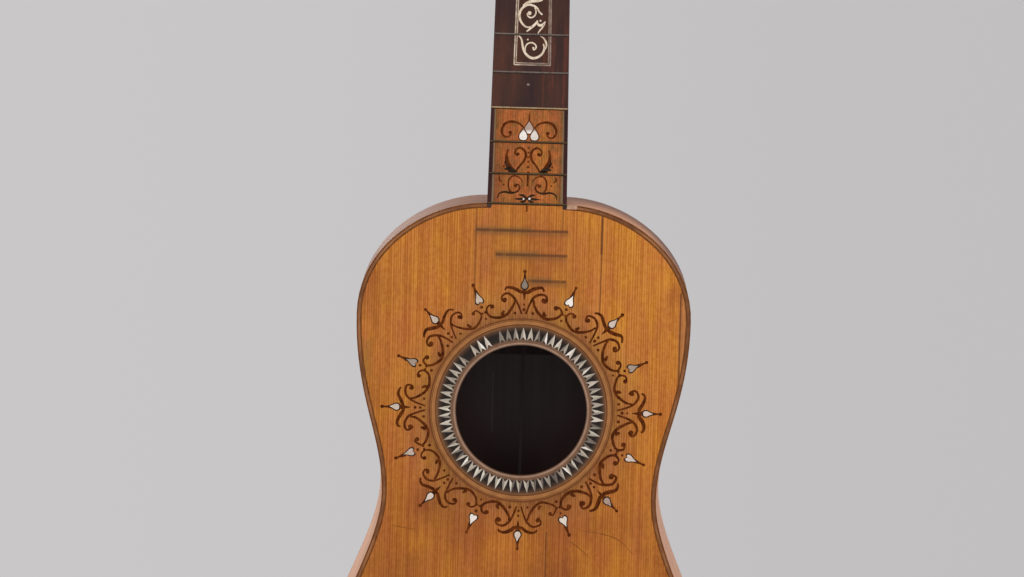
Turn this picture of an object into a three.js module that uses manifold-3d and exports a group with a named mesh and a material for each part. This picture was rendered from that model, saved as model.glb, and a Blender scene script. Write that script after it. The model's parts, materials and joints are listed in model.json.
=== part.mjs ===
// An unstrung five-course guitar of the 17th-century kind: a figure-eight body with an inlaid
// soundhole, a soundboard that runs up the neck as a tongue, fixed metal frets and ten rear pegs.
// Millimetres. +Z runs up the neck, +X to the player's treble side, and the front faces -Y.
// The origin lies in the middle of the neck's depth, level with the nut's playing edge.

import * as THREE from 'three';
import Module from 'manifold-3d';

const wasm = await Module();
wasm.setup();

// Strings and frets
const stringLength = 635;
const semitonesInOctave = 12;
const boardFretCount = 9;
const neckFretCount = 12;
const fretCrownWidth = 1.5;
const fretCrownHeight = 0.8;
const fretTangWidth = 0.6;
const fretTangDepth = 1.2;
const fretEndInset = 0.4;
const fretSlotClearance = 0.15;
const fretCrownSteps = 6;

// Body outline
const bodyLength = 430;
const upperBoutWidth = 210;
const waistWidth = 172.5;
const lowerBoutWidth = 252;
const upperBoutBelowTop = 71.5;
const waistBelowTop = 184.5;
const lowerBoutAboveTail = 96;
const shoulderHandleShares = [0.466, 0.606];
const flankHandleShares = [0.469, 0.319];
const hipHandleShares = [0.26, 0.42];
const tailHandleShares = [0.56, 0.56];
const curveSteps = 20;

// Body depth and walls
const depthAtNeck = 80;
const depthAtTail = 92;
const soundboardThickness = 2.5;
const ribThickness = 2;
const backThickness = 2.5;
const bindingWidth = 3;
const centreStripWidth = 1.6;
// How much wider the body is behind than in front, from the waist down
const backFlareShare = 0.03;
const seam = 0.05;
const fittingGap = 0.3;

// Soundhole and its inlaid rings
const soundholeBelowTop = 130;
const soundholeRadius = 41;
const edgeRingWidth = 2.9;
const masticRingWidth = 9;
const woodRingWidth = 4.9;
const inlayDepth = 1;
const roundSteps = 56;

// Neck, tongue and fingerboard
const neckWidthAtNut = 41.5;
const neckWidthAtBody = 50;
const neckDepthAtNut = 20;
const neckDepthAtHeel = 23;
const heelLength = 58;
const tongueBorderWidth = 2.6;
const neckRoundSteps = 12;
const neckRingCount = 5;
const heelRingCount = 9;
const heelSweepPower = 2.6;
const neckFullness = 0.8;

// Nut
const nutThickness = 5;
const nutHeight = 2.2;
const courseCount = 5;
const stringsInCourse = 2;
const courseSpread = 34;
const stringPairGap = 3;
const nutNotchWidth = 0.9;
const nutNotchDepth = 0.6;

// Head
const headTilt = THREE.MathUtils.degToRad(12);
const headThickness = 14;
const headVeneerThickness = 1.5;
const headFootWidth = 41;
const headShoulderWidth = 58;
const headShoulderHeight = 13;
const headTopWidth = 76;
const headTopHeight = 164;
const headCrownHeight = 32;
const headCuspDepth = 7;
const headCuspHeight = 9;
const headCurveSteps = 10;

// Pegs
const pegRows = 5;
const pegColumnsAtFoot = 27;
const pegColumnsAtTop = 41;
const firstPegHeight = 34;
const pegPitch = 29;
const pegTipRadius = 3;
const pegCollarRadius = 4;
const pegFrontReach = 11;
const pegNeckRadius = 3.4;
const pegRimRadius = 5.6;
const pegRimThickness = 3;
const pegNeckLength = 5;
const pegKnobWidth = 21;
const pegKnobHeight = 19;
const pegKnobThickness = 7.5;
const pegButtonRadius = 1.8;
const pegButtonLength = 3;
const pegClearance = 0.3;
const pegSides = 12;
const pegKnobRings = 6;
const pegKnobEndAngle = THREE.MathUtils.degToRad(15);
const pegKnobEdgePower = 0.5;
const pegTurnPerPeg = THREE.MathUtils.degToRad(23);

// Bridge
const bridgeBarLength = 92;
const bridgeBarWidth = 15;
const bridgeBarHeight = 8;
const bridgeSaddleWidth = 3;
const bridgeSaddleHeight = 6.5;
const bridgeChannelWidth = 3.5;
const bridgeChannelHeight = 3.2;
const bridgeCourseSpread = 66;
const bridgePairGap = 5;
const stringHoleRadius = 0.9;
const stringHoleHeight = 4.6;
const stringHoleSides = 6;
const moustacheLength = 44;
const moustacheHeight = 26;
const moustacheThickness = 2.4;
const moustacheRootWidth = 11;
const moustacheCurveSteps = 9;
// Each row holds two handles and an end, as shares of the scroll's length and height
const moustacheCurveShares = [
  [[0.45, -0.3], [0.75, -0.34], [0.96, 0.02]],
  [[1.04, 0.3], [0.92, 0.56], [0.72, 0.6]],
  [[0.54, 0.62], [0.46, 0.4], [0.58, 0.3]],
  [[0.64, 0.42], [0.78, 0.42], [0.8, 0.22]],
  [[0.78, 0.04], [0.5, -0.02], [0.34, 0.1]],
];
const moustacheRootHandleShares = [[0.24, 0.16], [0.1, 0.16]];

// Inner blocks, bars and linings
const blockWidth = 48;
const neckBlockLength = 42;
const tailBlockLength = 18;
const barWidth = 7;
const barDepth = 15;
const backBarWidth = 9;
const backBarDepth = 12;
const barEndHeight = 5;
const barEndRun = 24;
const soundboardBarsBelowTop = [56, 76, 188];
const backBarsBelowTop = [96, 222];
const tailBarAboveTail = 86;
const liningWidth = 5;
const liningHeight = 9;

// Nail that holds the neck, and the button at the tail
const nailRadius = 2.6;
const nailHeadRadius = 6;
const nailHeadHeight = 2;
const nailLength = 68;
const nailDepthShare = 0.3;
const nailDomeShare = 0.7;
const nailTaperShare = 0.8;
const nailTipShare = 0.25;
const buttonShankRadius = 3.2;
const buttonShankLength = 17;
const buttonRadius = 7.5;
const buttonCollarRadius = 4.6;
const buttonHeight = 13;
// Radius and height of the button's turned rings, as shares of its own radius and height
const buttonRingShares = [[0.5, 0.25], [1, 0.55], [1, 0.8], [0.4, 1]];
const buttonShankTipShare = 0.8;
const turnedSides = 24;

// Places along the strings, measured down from the nut
const fretPlace = (number) => -stringLength * (1 - 2 ** (-number / semitonesInOctave));
const bodyTop = fretPlace(neckFretCount);
const boardEnd = fretPlace(boardFretCount);
const bodyBottom = bodyTop - bodyLength;
const soundholePlace = bodyTop - soundholeBelowTop;
const heelStart = bodyTop + heelLength;
const originDepth = soundboardThickness + neckDepthAtNut / 2;

const neckWidthAt = (z) =>
  THREE.MathUtils.mapLinear(Math.max(z, bodyTop), 0, bodyTop, neckWidthAtNut, neckWidthAtBody);
const backSurface = (z) =>
  THREE.MathUtils.mapLinear(z, bodyTop, bodyBottom, depthAtNeck, depthAtTail);
const backInside = (z) => backSurface(z) - backThickness;
const level = (depth) => () => depth;
const frontFace = level(0);
const underBoard = level(soundboardThickness);

// Colours and finishes
const finish = (color, roughness, metalness = 0) =>
  new THREE.MeshStandardMaterial({ color, roughness, metalness });
const spruce = finish(0xb87a38, 0.5);
const rosewood = finish(0x43231f, 0.45);
const ribWood = finish(0xb08468, 0.45);
const darkLine = finish(0x54321f, 0.5);
const mastic = finish(0x222326, 0.6);
const lightWood = finish(0xc08a4c, 0.5);
const ebony = finish(0x1d1816, 0.4);
const bone = finish(0xddccaa, 0.45);
const fretMetal = finish(0x9c9078, 0.4, 0.9);
const iron = finish(0x4b4845, 0.6, 0.8);
const innerWood = finish(0xc9a878, 0.7);

// Closed geometry from points and triangles, turned so that its faces point out
function closedGeometry(points, triangles) {
  let volume = 0;
  for (const [a, b, c] of triangles) {
    const normal = new THREE.Vector3().crossVectors(points[b], points[c]);
    volume += points[a].dot(normal);
  }
  const facing = volume < 0 ? triangles.map(([a, b, c]) => [a, c, b]) : triangles;
  const geometry = new THREE.BufferGeometry();
  const places = points.flatMap((point) => point.toArray());
  geometry.setAttribute('position', new THREE.Float32BufferAttribute(places, 3));
  geometry.setIndex(facing.flat());
  geometry.computeVertexNormals();
  return geometry;
}

// A flat outline with holes, given two sides by place(point, side)
function slab(contour, holes, place) {
  const clockwise = THREE.ShapeUtils.isClockWise;
  const outer = clockwise(contour) ? contour.slice().reverse() : contour;
  const inner = holes.map((hole) => (clockwise(hole) ? hole : hole.slice().reverse()));
  const loops = [outer, ...inner];
  const all = loops.flat();
  const count = all.length;
  const points = [0, 1].flatMap((side) => all.map((point) => place(point, side)));
  const triangles = [];
  for (const [a, b, c] of THREE.ShapeUtils.triangulateShape(outer, inner)) {
    triangles.push([a, b, c], [count + a, count + c, count + b]);
  }
  let start = 0;
  for (const loop of loops) {
    for (let i = 0; i < loop.length; i += 1) {
      const here = start + i;
      const next = start + ((i + 1) % loop.length);
      triangles.push([here, count + here, count + next], [here, count + next, next]);
    }
    start += loop.length;
  }
  return closedGeometry(points, triangles);
}

// The ribs lean out towards the back: not at all at the upper bout, fully from the waist down
function flared(x, depth, z) {
  const belowTop = bodyTop - z;
  const lean = THREE.MathUtils.smoothstep(belowTop, upperBoutBelowTop, waistBelowTop);
  const behind = (depth - soundboardThickness) / (backInside(z) - soundboardThickness);
  return x * (1 + backFlareShare * lean * THREE.MathUtils.clamp(behind, 0, 1));
}

// Outlines drawn in the X-Z plane of the soundboard, between two depths
const plate = (contour, holes, front, back) =>
  slab(contour, holes, (point, side) => {
    const depth = (side ? back : front)(point.y);
    return new THREE.Vector3(flared(point.x, depth, point.y), depth, point.y);
  });

// Outlines drawn across the neck, in X and Y, between two heights
const crossPiece = (contour, low, high) =>
  slab(contour, [], (point, side) => new THREE.Vector3(point.x, point.y, side ? high : low));

// A skin over rings of points that have the same count, with a flat cap at each end
function loft(rings) {
  const count = rings[0].length;
  const points = rings.flat();
  const triangles = [];
  for (let ring = 0; ring + 1 < rings.length; ring += 1) {
    for (let i = 0; i < count; i += 1) {
      const here = ring * count + i;
      const next = ring * count + ((i + 1) % count);
      triangles.push([here, next, next + count], [here, next + count, here + count]);
    }
  }
  const last = (rings.length - 1) * count;
  for (let i = 1; i + 1 < count; i += 1) {
    triangles.push([0, i + 1, i], [last, last + i, last + i + 1]);
  }
  return closedGeometry(points, triangles);
}

// A round solid about the Y axis, from [radius, y] pairs that run from end to end
function turned(profile, sides) {
  const rings = profile.map(([radius, y]) =>
    Array.from({ length: sides }, (_, i) => {
      const angle = (i / sides) * 2 * Math.PI;
      return new THREE.Vector3(radius * Math.cos(angle), y, radius * Math.sin(angle));
    })
  );
  return loft(rings);
}

function solidOf(geometry) {
  const vertProperties = new Float32Array(geometry.attributes.position.array);
  const triVerts = new Uint32Array(geometry.index.array);
  return new wasm.Manifold(new wasm.Mesh({ numProp: 3, vertProperties, triVerts }));
}

function geometryOf(solid) {
  const mesh = solid.getMesh();
  const geometry = new THREE.BufferGeometry();
  geometry.setAttribute('position', new THREE.BufferAttribute(mesh.vertProperties, 3));
  geometry.setIndex(new THREE.BufferAttribute(mesh.triVerts, 1));
  geometry.computeVertexNormals();
  return geometry;
}

function cut(geometry, tools) {
  return geometryOf(tools.reduce((solid, tool) => solid.subtract(solidOf(tool)), solidOf(geometry)));
}

function join(first, second) {
  return geometryOf(solidOf(first).add(solidOf(second)));
}

function named(name, geometry, material) {
  const mesh = new THREE.Mesh(geometry, material);
  mesh.name = name;
  return mesh;
}

const point2 = (x, y) => new THREE.Vector2(x, y);
const mirrored = (points) => points.map((point) => point2(-point.x, point.y)).reverse();

function circle(radius, centreX, centreY, steps) {
  return Array.from({ length: steps }, (_, i) => {
    const angle = (i / steps) * 2 * Math.PI;
    return point2(centreX + radius * Math.cos(angle), centreY + radius * Math.sin(angle));
  });
}

// The treble half of the body outline, from the neck round to the tail, as four curves
function halfCurves() {
  const neckSide = neckWidthAtBody / 2;
  const upper = point2(upperBoutWidth / 2, bodyTop - upperBoutBelowTop);
  const waist = point2(waistWidth / 2, bodyTop - waistBelowTop);
  const lower = point2(lowerBoutWidth / 2, bodyBottom + lowerBoutAboveTail);
  const [shoulderAcross, shoulderUp] = shoulderHandleShares;
  const [tailDown, tailAcross] = tailHandleShares;
  const flank = (from, to, [leaving, arriving]) =>
    new THREE.CubicBezierCurve(
      from,
      point2(from.x, THREE.MathUtils.lerp(from.y, to.y, leaving)),
      point2(to.x, THREE.MathUtils.lerp(to.y, from.y, arriving)),
      to
    );
  return [
    new THREE.CubicBezierCurve(
      point2(neckSide, bodyTop),
      point2(THREE.MathUtils.lerp(neckSide, upper.x, shoulderAcross), bodyTop),
      point2(upper.x, THREE.MathUtils.lerp(upper.y, bodyTop, shoulderUp)),
      upper
    ),
    flank(upper, waist, flankHandleShares),
    flank(waist, lower, hipHandleShares),
    new THREE.CubicBezierCurve(
      lower,
      point2(lower.x, THREE.MathUtils.lerp(lower.y, bodyBottom, tailDown)),
      point2(lower.x * tailAcross, bodyBottom),
      point2(0, bodyBottom)
    ),
  ];
}

// The treble half outline moved inwards, from the top at the centre line to the tail
function halfOutline(inset) {
  const points = [point2(0, bodyTop - inset), point2(neckWidthAtBody / 2, bodyTop - inset)];
  for (const curve of halfCurves()) {
    for (let step = 1; step <= curveSteps; step += 1) {
      const share = step / curveSteps;
      const onEdge = curve.getPoint(share);
      const along = curve.getTangent(share);
      points.push(point2(onEdge.x + along.y * inset, onEdge.y - along.x * inset));
    }
  }
  points[points.length - 1].x = 0;
  return points;
}

// The half outline's width at a height, for pieces that reach from side to side
function halfWidthAt(z, inset) {
  const points = halfOutline(inset);
  for (let i = 1; i + 1 < points.length; i += 1) {
    const [above, below] = [points[i], points[i + 1]];
    if (above.y >= z && below.y <= z) {
      return THREE.MathUtils.mapLinear(z, above.y, below.y, above.x, below.x);
    }
  }
  return 0;
}

// A strip along the half outline, between two insets, from one point to another of it
function edgeBand(outerInset, innerInset, keeps) {
  const outer = halfOutline(outerInset).filter(keeps);
  const inner = halfOutline(innerInset).filter(keeps);
  return [...outer, ...inner.reverse()];
}

const guitar = new THREE.Group();
guitar.name = 'guitar';
guitar.position.y = -originDepth;
const add = (name, geometry, material) => guitar.add(named(name, geometry, material));

const tongueHalfAt = (z) => neckWidthAt(z) / 2 - tongueBorderWidth;
const innerTop = bodyTop - bindingWidth;

// Slots for the frets, cut across the full width of the neck
function fretSlot(number) {
  const half = fretTangWidth / 2 + fretSlotClearance;
  const place = fretPlace(number);
  const reach = neckWidthAtBody;
  const deep = fretTangDepth + fretSlotClearance;
  const contour = [
    point2(-reach, place - half),
    point2(reach, place - half),
    point2(reach, place + half),
    point2(-reach, place + half),
  ];
  return plate(contour, [], level(-deep), level(deep));
}
const fretNumbers = Array.from({ length: neckFretCount }, (_, i) => i + 1);
const boardSlots = fretNumbers.filter((number) => number <= boardFretCount).map(fretSlot);
const tongueSlots = fretNumbers.filter((number) => number >= boardFretCount).map(fretSlot);

function addSoundboard() {
  const right = halfOutline(bindingWidth).slice(1);
  const edge = right.slice(0, -1);
  const tail = right.at(-1);
  const tongue = [
    point2(tongueHalfAt(bodyTop), innerTop),
    point2(tongueHalfAt(boardEnd), boardEnd),
    point2(-tongueHalfAt(boardEnd), boardEnd),
    point2(-tongueHalfAt(bodyTop), innerTop),
  ];
  const contour = [...mirrored(edge).reverse(), tail, ...edge.slice().reverse(), ...tongue];
  const ringsRadius = soundholeRadius + edgeRingWidth + masticRingWidth + woodRingWidth;
  const recess = circle(ringsRadius, 0, soundholePlace, roundSteps);
  const hole = circle(soundholeRadius, 0, soundholePlace, roundSteps);
  const front = plate(contour, [recess], frontFace, level(inlayDepth));
  const behind = plate(contour, [hole], level(inlayDepth), underBoard);
  add('soundboard', cut(join(front, behind), tongueSlots), spruce);
}

function addRosette() {
  const rings = [
    ['rosette_edge_ring', edgeRingWidth, lightWood],
    ['rosette_mastic_ring', masticRingWidth, mastic],
    ['rosette_wood_ring', woodRingWidth, lightWood],
  ];
  let inner = soundholeRadius;
  for (const [name, width, material] of rings) {
    const outer = inner + width;
    const outside = circle(outer, 0, soundholePlace, roundSteps);
    const inside = circle(inner, 0, soundholePlace, roundSteps);
    add(name, plate(outside, [inside], frontFace, level(inlayDepth)), material);
    inner = outer;
  }
}

function addFrontBinding() {
  const outer = halfOutline(0).slice(1, -1);
  const inner = halfOutline(bindingWidth).slice(1, -1);
  const outerTail = halfOutline(0).at(-1);
  const innerTail = halfOutline(bindingWidth).at(-1);
  const outside = [...outer, outerTail, ...mirrored(outer)];
  const inside = [...inner, innerTail, ...mirrored(inner)];
  const band = [...outside, ...inside.reverse()];
  add('front_binding', plate(band, [], frontFace, underBoard), darkLine);
}

const nailDepth = soundboardThickness + (depthAtNeck - soundboardThickness) * nailDepthShare;
const buttonDepth = soundboardThickness + (depthAtTail - soundboardThickness) / 2;

// A round passage along Z, for the nail and the button's shank
function passage(radius, depth, low, high) {
  return crossPiece(circle(radius, 0, depth, turnedSides), low, high);
}
const nailHole = passage(
  nailRadius + fittingGap,
  nailDepth,
  bodyTop - neckBlockLength - ribThickness - nailHeadHeight,
  bodyTop - neckBlockLength + nailLength
);
const buttonHole = passage(
  buttonShankRadius + fittingGap,
  buttonDepth,
  bodyBottom - buttonHeight,
  bodyBottom + ribThickness + tailBlockLength + fittingGap
);

function addRibs() {
  const band = edgeBand(0, ribThickness, () => true);
  const rear = (z) => backInside(z) - seam;
  const treble = plate(band, [], underBoard, rear);
  const bass = plate(mirrored(band), [], underBoard, rear);
  add('rib_treble', cut(treble, [nailHole, buttonHole]), ribWood);
  add('rib_bass', cut(bass, [nailHole, buttonHole]), ribWood);
}

function addBack() {
  const half = centreStripWidth / 2;
  const inner = halfOutline(bindingWidth);
  const tail = inner.at(-1);
  const beforeTail = inner.at(-2);
  const stripEnd = THREE.MathUtils.mapLinear(half, tail.x, beforeTail.x, tail.y, beforeTail.y);
  const side = [point2(half, innerTop), ...inner.slice(1, -1), point2(half, stripEnd)];
  const strip = [
    point2(-half, stripEnd),
    tail,
    point2(half, stripEnd),
    point2(half, innerTop),
    point2(-half, innerTop),
  ];
  add('back_treble', plate(side, [], backInside, backSurface), ribWood);
  add('back_bass', plate(mirrored(side), [], backInside, backSurface), ribWood);
  add('back_centre_strip', plate(strip, [], backInside, backSurface), darkLine);

  const ring = (inset) => {
    const points = halfOutline(inset).slice(1, -1);
    return [...points, halfOutline(inset).at(-1), ...mirrored(points)];
  };
  const binding = plate(ring(0), [ring(bindingWidth)], backInside, backSurface);
  add('back_binding', binding, darkLine);
}

function addBlocks() {
  const box = (high, low) => [
    point2(-blockWidth / 2, high),
    point2(blockWidth / 2, high),
    point2(blockWidth / 2, low),
    point2(-blockWidth / 2, low),
  ];
  const rear = (z) => backInside(z) - seam;
  const neckBlock = box(bodyTop - ribThickness, bodyTop - ribThickness - neckBlockLength);
  add('neck_block', cut(plate(neckBlock, [], underBoard, rear), [nailHole]), innerWood);

  const inner = halfOutline(ribThickness + fittingGap);
  const tailSide = inner.filter((point) => point.x > 0 && point.x < blockWidth / 2);
  const top = bodyBottom + ribThickness + tailBlockLength;
  const lowTail = tailSide.filter((point) => point.y < top);
  const tailBlock = [
    point2(lowTail[0].x, top),
    ...lowTail,
    inner.at(-1),
    ...mirrored(lowTail),
    point2(-lowTail[0].x, top),
  ];
  add('tail_block', cut(plate(tailBlock, [], underBoard, rear), [buttonHole]), innerWood);
}

function addLinings() {
  const clear = (point) => point.x > blockWidth / 2 + fittingGap;
  const outside = ribThickness + fittingGap;
  const band = edgeBand(outside, outside + liningWidth, clear);
  const frontInner = level(soundboardThickness + liningHeight);
  const backFace = (z) => backInside(z) - seam;
  const backInner = (z) => backInside(z) - liningHeight;
  add('lining_front_treble', plate(band, [], underBoard, frontInner), innerWood);
  add('lining_front_bass', plate(mirrored(band), [], underBoard, frontInner), innerWood);
  add('lining_back_treble', plate(band, [], backInner, backFace), innerWood);
  add('lining_back_bass', plate(mirrored(band), [], backInner, backFace), innerWood);
}

// A bar glued across a plate: full depth in the middle, thinned towards both ends
function bar(place, width, seat, direction, depth) {
  const inset = ribThickness + fittingGap + liningWidth + fittingGap;
  const [low, high] = [place - width / 2, place + width / 2];
  const reach = Math.min(halfWidthAt(low, inset), halfWidthAt(high, inset));
  const ring = (z) => {
    const face = seat(z);
    const profile = [
      [-reach, 0],
      [reach, 0],
      [reach, barEndHeight],
      [reach - barEndRun, depth],
      [barEndRun - reach, depth],
      [-reach, barEndHeight],
    ];
    return profile.map(([x, rise]) => {
      const y = face + direction * rise;
      return new THREE.Vector3(flared(x, y, z), y, z);
    });
  };
  return loft([ring(low), ring(high)]);
}

function addBars() {
  soundboardBarsBelowTop.forEach((below, i) => {
    const piece = bar(bodyTop - below, barWidth, underBoard, 1, barDepth);
    add(`soundboard_bar_${i + 1}`, piece, innerWood);
  });
  const rear = (z) => backInside(z) - seam;
  const backBarPlaces = backBarsBelowTop.map((below) => bodyTop - below);
  backBarPlaces.push(bodyBottom + tailBarAboveTail);
  backBarPlaces.forEach((place, i) => {
    const piece = bar(place, backBarWidth, rear, -1, backBarDepth);
    add(`back_bar_${i + 1}`, piece, innerWood);
  });
}

// The rounded section of the neck: a flat front and a full curve behind
function neckSection(z, depth, topOf = level(z)) {
  const half = neckWidthAt(z) / 2;
  return Array.from({ length: neckRoundSteps + 1 }, (_, i) => {
    const angle = (i / neckRoundSteps) * Math.PI;
    const across = Math.sign(Math.cos(angle)) * Math.abs(Math.cos(angle)) ** neckFullness;
    const behind = Math.abs(Math.sin(angle)) ** neckFullness;
    const y = soundboardThickness + depth * behind;
    return new THREE.Vector3(half * across, y, topOf(y));
  });
}

function addNeck() {
  const topOf = (y) => nutThickness - (y - soundboardThickness) * Math.tan(headTilt);
  const rings = [neckSection(nutThickness, neckDepthAtNut, topOf)];
  for (let i = 1; i <= neckRingCount; i += 1) {
    const share = i / neckRingCount;
    const z = THREE.MathUtils.lerp(0, heelStart, share);
    rings.push(neckSection(z, THREE.MathUtils.lerp(neckDepthAtNut, neckDepthAtHeel, share)));
  }
  add('neck', loft(rings), rosewood);

  const heelRings = [];
  const fullDepth = depthAtNeck - soundboardThickness;
  for (let i = 0; i <= heelRingCount; i += 1) {
    const share = Math.sin(((i / heelRingCount) * Math.PI) / 2);
    const z = THREE.MathUtils.lerp(heelStart, bodyTop, share);
    heelRings.push(
      neckSection(z, THREE.MathUtils.lerp(neckDepthAtHeel, fullDepth, share ** heelSweepPower))
    );
  }
  add('heel', cut(loft(heelRings), [nailHole]), rosewood);
}

function addNail() {
  const head = bodyTop - ribThickness - neckBlockLength;
  const profile = [
    [nailHeadRadius * nailDomeShare, head - nailHeadHeight],
    [nailHeadRadius, head - nailHeadHeight / 2],
    [nailHeadRadius, head],
    [nailRadius, head],
    [nailRadius, head + nailLength * nailTaperShare],
    [nailRadius * nailTipShare, head + nailLength - fittingGap],
  ];
  const nail = turned(profile, turnedSides);
  nail.rotateX(Math.PI / 2);
  nail.translate(0, nailDepth, 0);
  add('neck_nail', nail, iron);
}

function addFingerboard() {
  const contour = [
    point2(neckWidthAt(boardEnd) / 2, boardEnd),
    point2(neckWidthAt(0) / 2, 0),
    point2(-neckWidthAt(0) / 2, 0),
    point2(-neckWidthAt(boardEnd) / 2, boardEnd),
  ];
  add('fingerboard', cut(plate(contour, [], frontFace, underBoard), boardSlots), rosewood);
}

function addTongueBorders() {
  const treble = [
    point2(tongueHalfAt(bodyTop), innerTop),
    point2(neckWidthAtBody / 2, innerTop),
    point2(neckWidthAtBody / 2, bodyTop),
    point2(neckWidthAt(boardEnd) / 2, boardEnd),
    point2(tongueHalfAt(boardEnd), boardEnd),
  ];
  const strip = (contour) => cut(plate(contour, [], frontFace, underBoard), tongueSlots);
  add('tongue_border_treble', strip(treble), darkLine);
  add('tongue_border_bass', strip(mirrored(treble)), darkLine);
}

function addFrets() {
  for (const number of fretNumbers) {
    const place = fretPlace(number);
    const half = neckWidthAt(place) / 2 - fretEndInset;
    const crown = Array.from({ length: fretCrownSteps + 1 }, (_, i) => {
      const angle = (i / fretCrownSteps) * Math.PI;
      const across = (fretCrownWidth / 2) * Math.cos(angle);
      return point2(place + across, -fretCrownHeight * Math.sin(angle));
    });
    const tang = [
      point2(place - fretTangWidth / 2, 0),
      point2(place - fretTangWidth / 2, fretTangDepth),
      point2(place + fretTangWidth / 2, fretTangDepth),
      point2(place + fretTangWidth / 2, 0),
    ];
    const fret = slab([...crown, ...tang], [], (point, side) =>
      new THREE.Vector3(side ? half : -half, point.y, point.x)
    );
    add(`fret_${String(number).padStart(2, '0')}`, fret, fretMetal);
  }
}

// Places of the strings across the neck, as pairs about each course
function stringPlaces(spread, pairGap) {
  const places = [];
  for (let course = 0; course < courseCount; course += 1) {
    const centre = THREE.MathUtils.lerp(-spread / 2, spread / 2, course / (courseCount - 1));
    for (let string = 0; string < stringsInCourse; string += 1) {
      places.push(centre + pairGap * (string - (stringsInCourse - 1) / 2));
    }
  }
  return places;
}

function addNut() {
  const half = neckWidthAtNut / 2;
  const notches = stringPlaces(courseSpread, stringPairGap).flatMap((x) => [
    point2(x - nutNotchWidth / 2, -nutHeight),
    point2(x, nutNotchDepth - nutHeight),
    point2(x + nutNotchWidth / 2, -nutHeight),
  ]);
  const contour = [
    point2(-half, soundboardThickness),
    point2(-half, -nutHeight),
    ...notches,
    point2(half, -nutHeight),
    point2(half, soundboardThickness),
  ];
  add('nut', crossPiece(contour, 0, nutThickness - fittingGap), bone);
}

// The head's outline in its own plane, from its foot up to a cusped and rounded top
function headOutline() {
  const foot = headFootWidth / 2;
  const shoulder = headShoulderWidth / 2;
  const top = headTopWidth / 2;
  const cusp = top - headCuspDepth;
  const cuspTop = headTopHeight + headCuspHeight;
  const crown = headTopHeight + headCrownHeight;
  const shape = new THREE.Path();
  shape.moveTo(foot, fittingGap);
  shape.quadraticCurveTo(foot, headShoulderHeight, shoulder, headShoulderHeight);
  shape.lineTo(top, headTopHeight);
  shape.quadraticCurveTo(cusp, headTopHeight, cusp, cuspTop);
  shape.bezierCurveTo(top, crown, cusp / 2, crown, 0, crown);
  const right = shape.getPoints(headCurveSteps);
  return [...right, ...mirrored(right).slice(1)];
}

const pegBack = headThickness;
const pegRadiusAt = (y) =>
  THREE.MathUtils.mapLinear(y, -pegFrontReach, pegBack, pegTipRadius, pegCollarRadius);

function pegHole(x, height) {
  const front = -pegFrontReach;
  const rear = pegBack + pegFrontReach;
  const radius = (y) => (pegRadiusAt(y) + pegClearance) / Math.cos(Math.PI / pegSides);
  const hole = turned([[radius(front), front], [radius(rear), rear]], pegSides);
  hole.translate(x, 0, height);
  return hole;
}

// A tapered peg about the Y axis: tip in front of the head, knob behind it
function pegGeometry() {
  const flatRing = (width, thickness, y) =>
    Array.from({ length: pegSides }, (_, i) => {
      const angle = (i / pegSides) * 2 * Math.PI;
      const x = (thickness / 2) * Math.cos(angle);
      return new THREE.Vector3(x, y, (width / 2) * Math.sin(angle));
    });
  const round = (radius, y) => flatRing(2 * radius, 2 * radius, y);
  const rimStart = pegBack + fittingGap;
  const rimEnd = rimStart + pegRimThickness;
  const knobStart = rimEnd + pegNeckLength;
  const rings = [
    round(pegTipRadius, -pegFrontReach),
    round(pegCollarRadius, pegBack),
    round(pegRimRadius, rimStart),
    round(pegRimRadius, rimEnd),
    round(pegNeckRadius, rimEnd + pegRimThickness / 2),
  ];
  for (let i = 0; i <= pegKnobRings; i += 1) {
    const share = i / pegKnobRings;
    const angle = THREE.MathUtils.lerp(pegKnobEndAngle, Math.PI - pegKnobEndAngle, share);
    const height = pegKnobHeight * ((1 - Math.cos(angle)) / 2);
    const swell = Math.sin(angle);
    const thickness = pegKnobThickness * swell ** pegKnobEdgePower;
    rings.push(flatRing(pegKnobWidth * swell, thickness, knobStart + height));
  }
  const buttonStart = knobStart + pegKnobHeight;
  rings.push(round(pegButtonRadius, buttonStart));
  rings.push(round(pegButtonRadius, buttonStart + pegButtonLength));
  return loft(rings);
}

function pegPlaces() {
  const places = [];
  for (let row = 0; row < pegRows; row += 1) {
    const height = firstPegHeight + row * pegPitch;
    const share = row / (pegRows - 1);
    const half = THREE.MathUtils.lerp(pegColumnsAtFoot, pegColumnsAtTop, share) / 2;
    places.push([-half, height], [half, height]);
  }
  return places;
}

function addHead() {
  const head = new THREE.Group();
  head.position.set(0, soundboardThickness, nutThickness);
  head.rotation.x = -headTilt;
  const outline = headOutline();
  const holes = pegPlaces().map(([x, height]) => pegHole(x, height));
  const core = plate(outline, [], frontFace, level(headThickness));
  const veneer = plate(outline, [], level(-headVeneerThickness), frontFace);
  head.add(named('head', cut(core, holes), rosewood));
  head.add(named('head_veneer', cut(veneer, holes), ebony));
  pegPlaces().forEach(([x, height], i) => {
    const peg = named(`peg_${i + 1}`, pegGeometry(), ebony);
    peg.position.set(x, 0, height);
    peg.rotation.y = pegTurnPerPeg * i;
    head.add(peg);
  });
  guitar.add(head);
}

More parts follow.
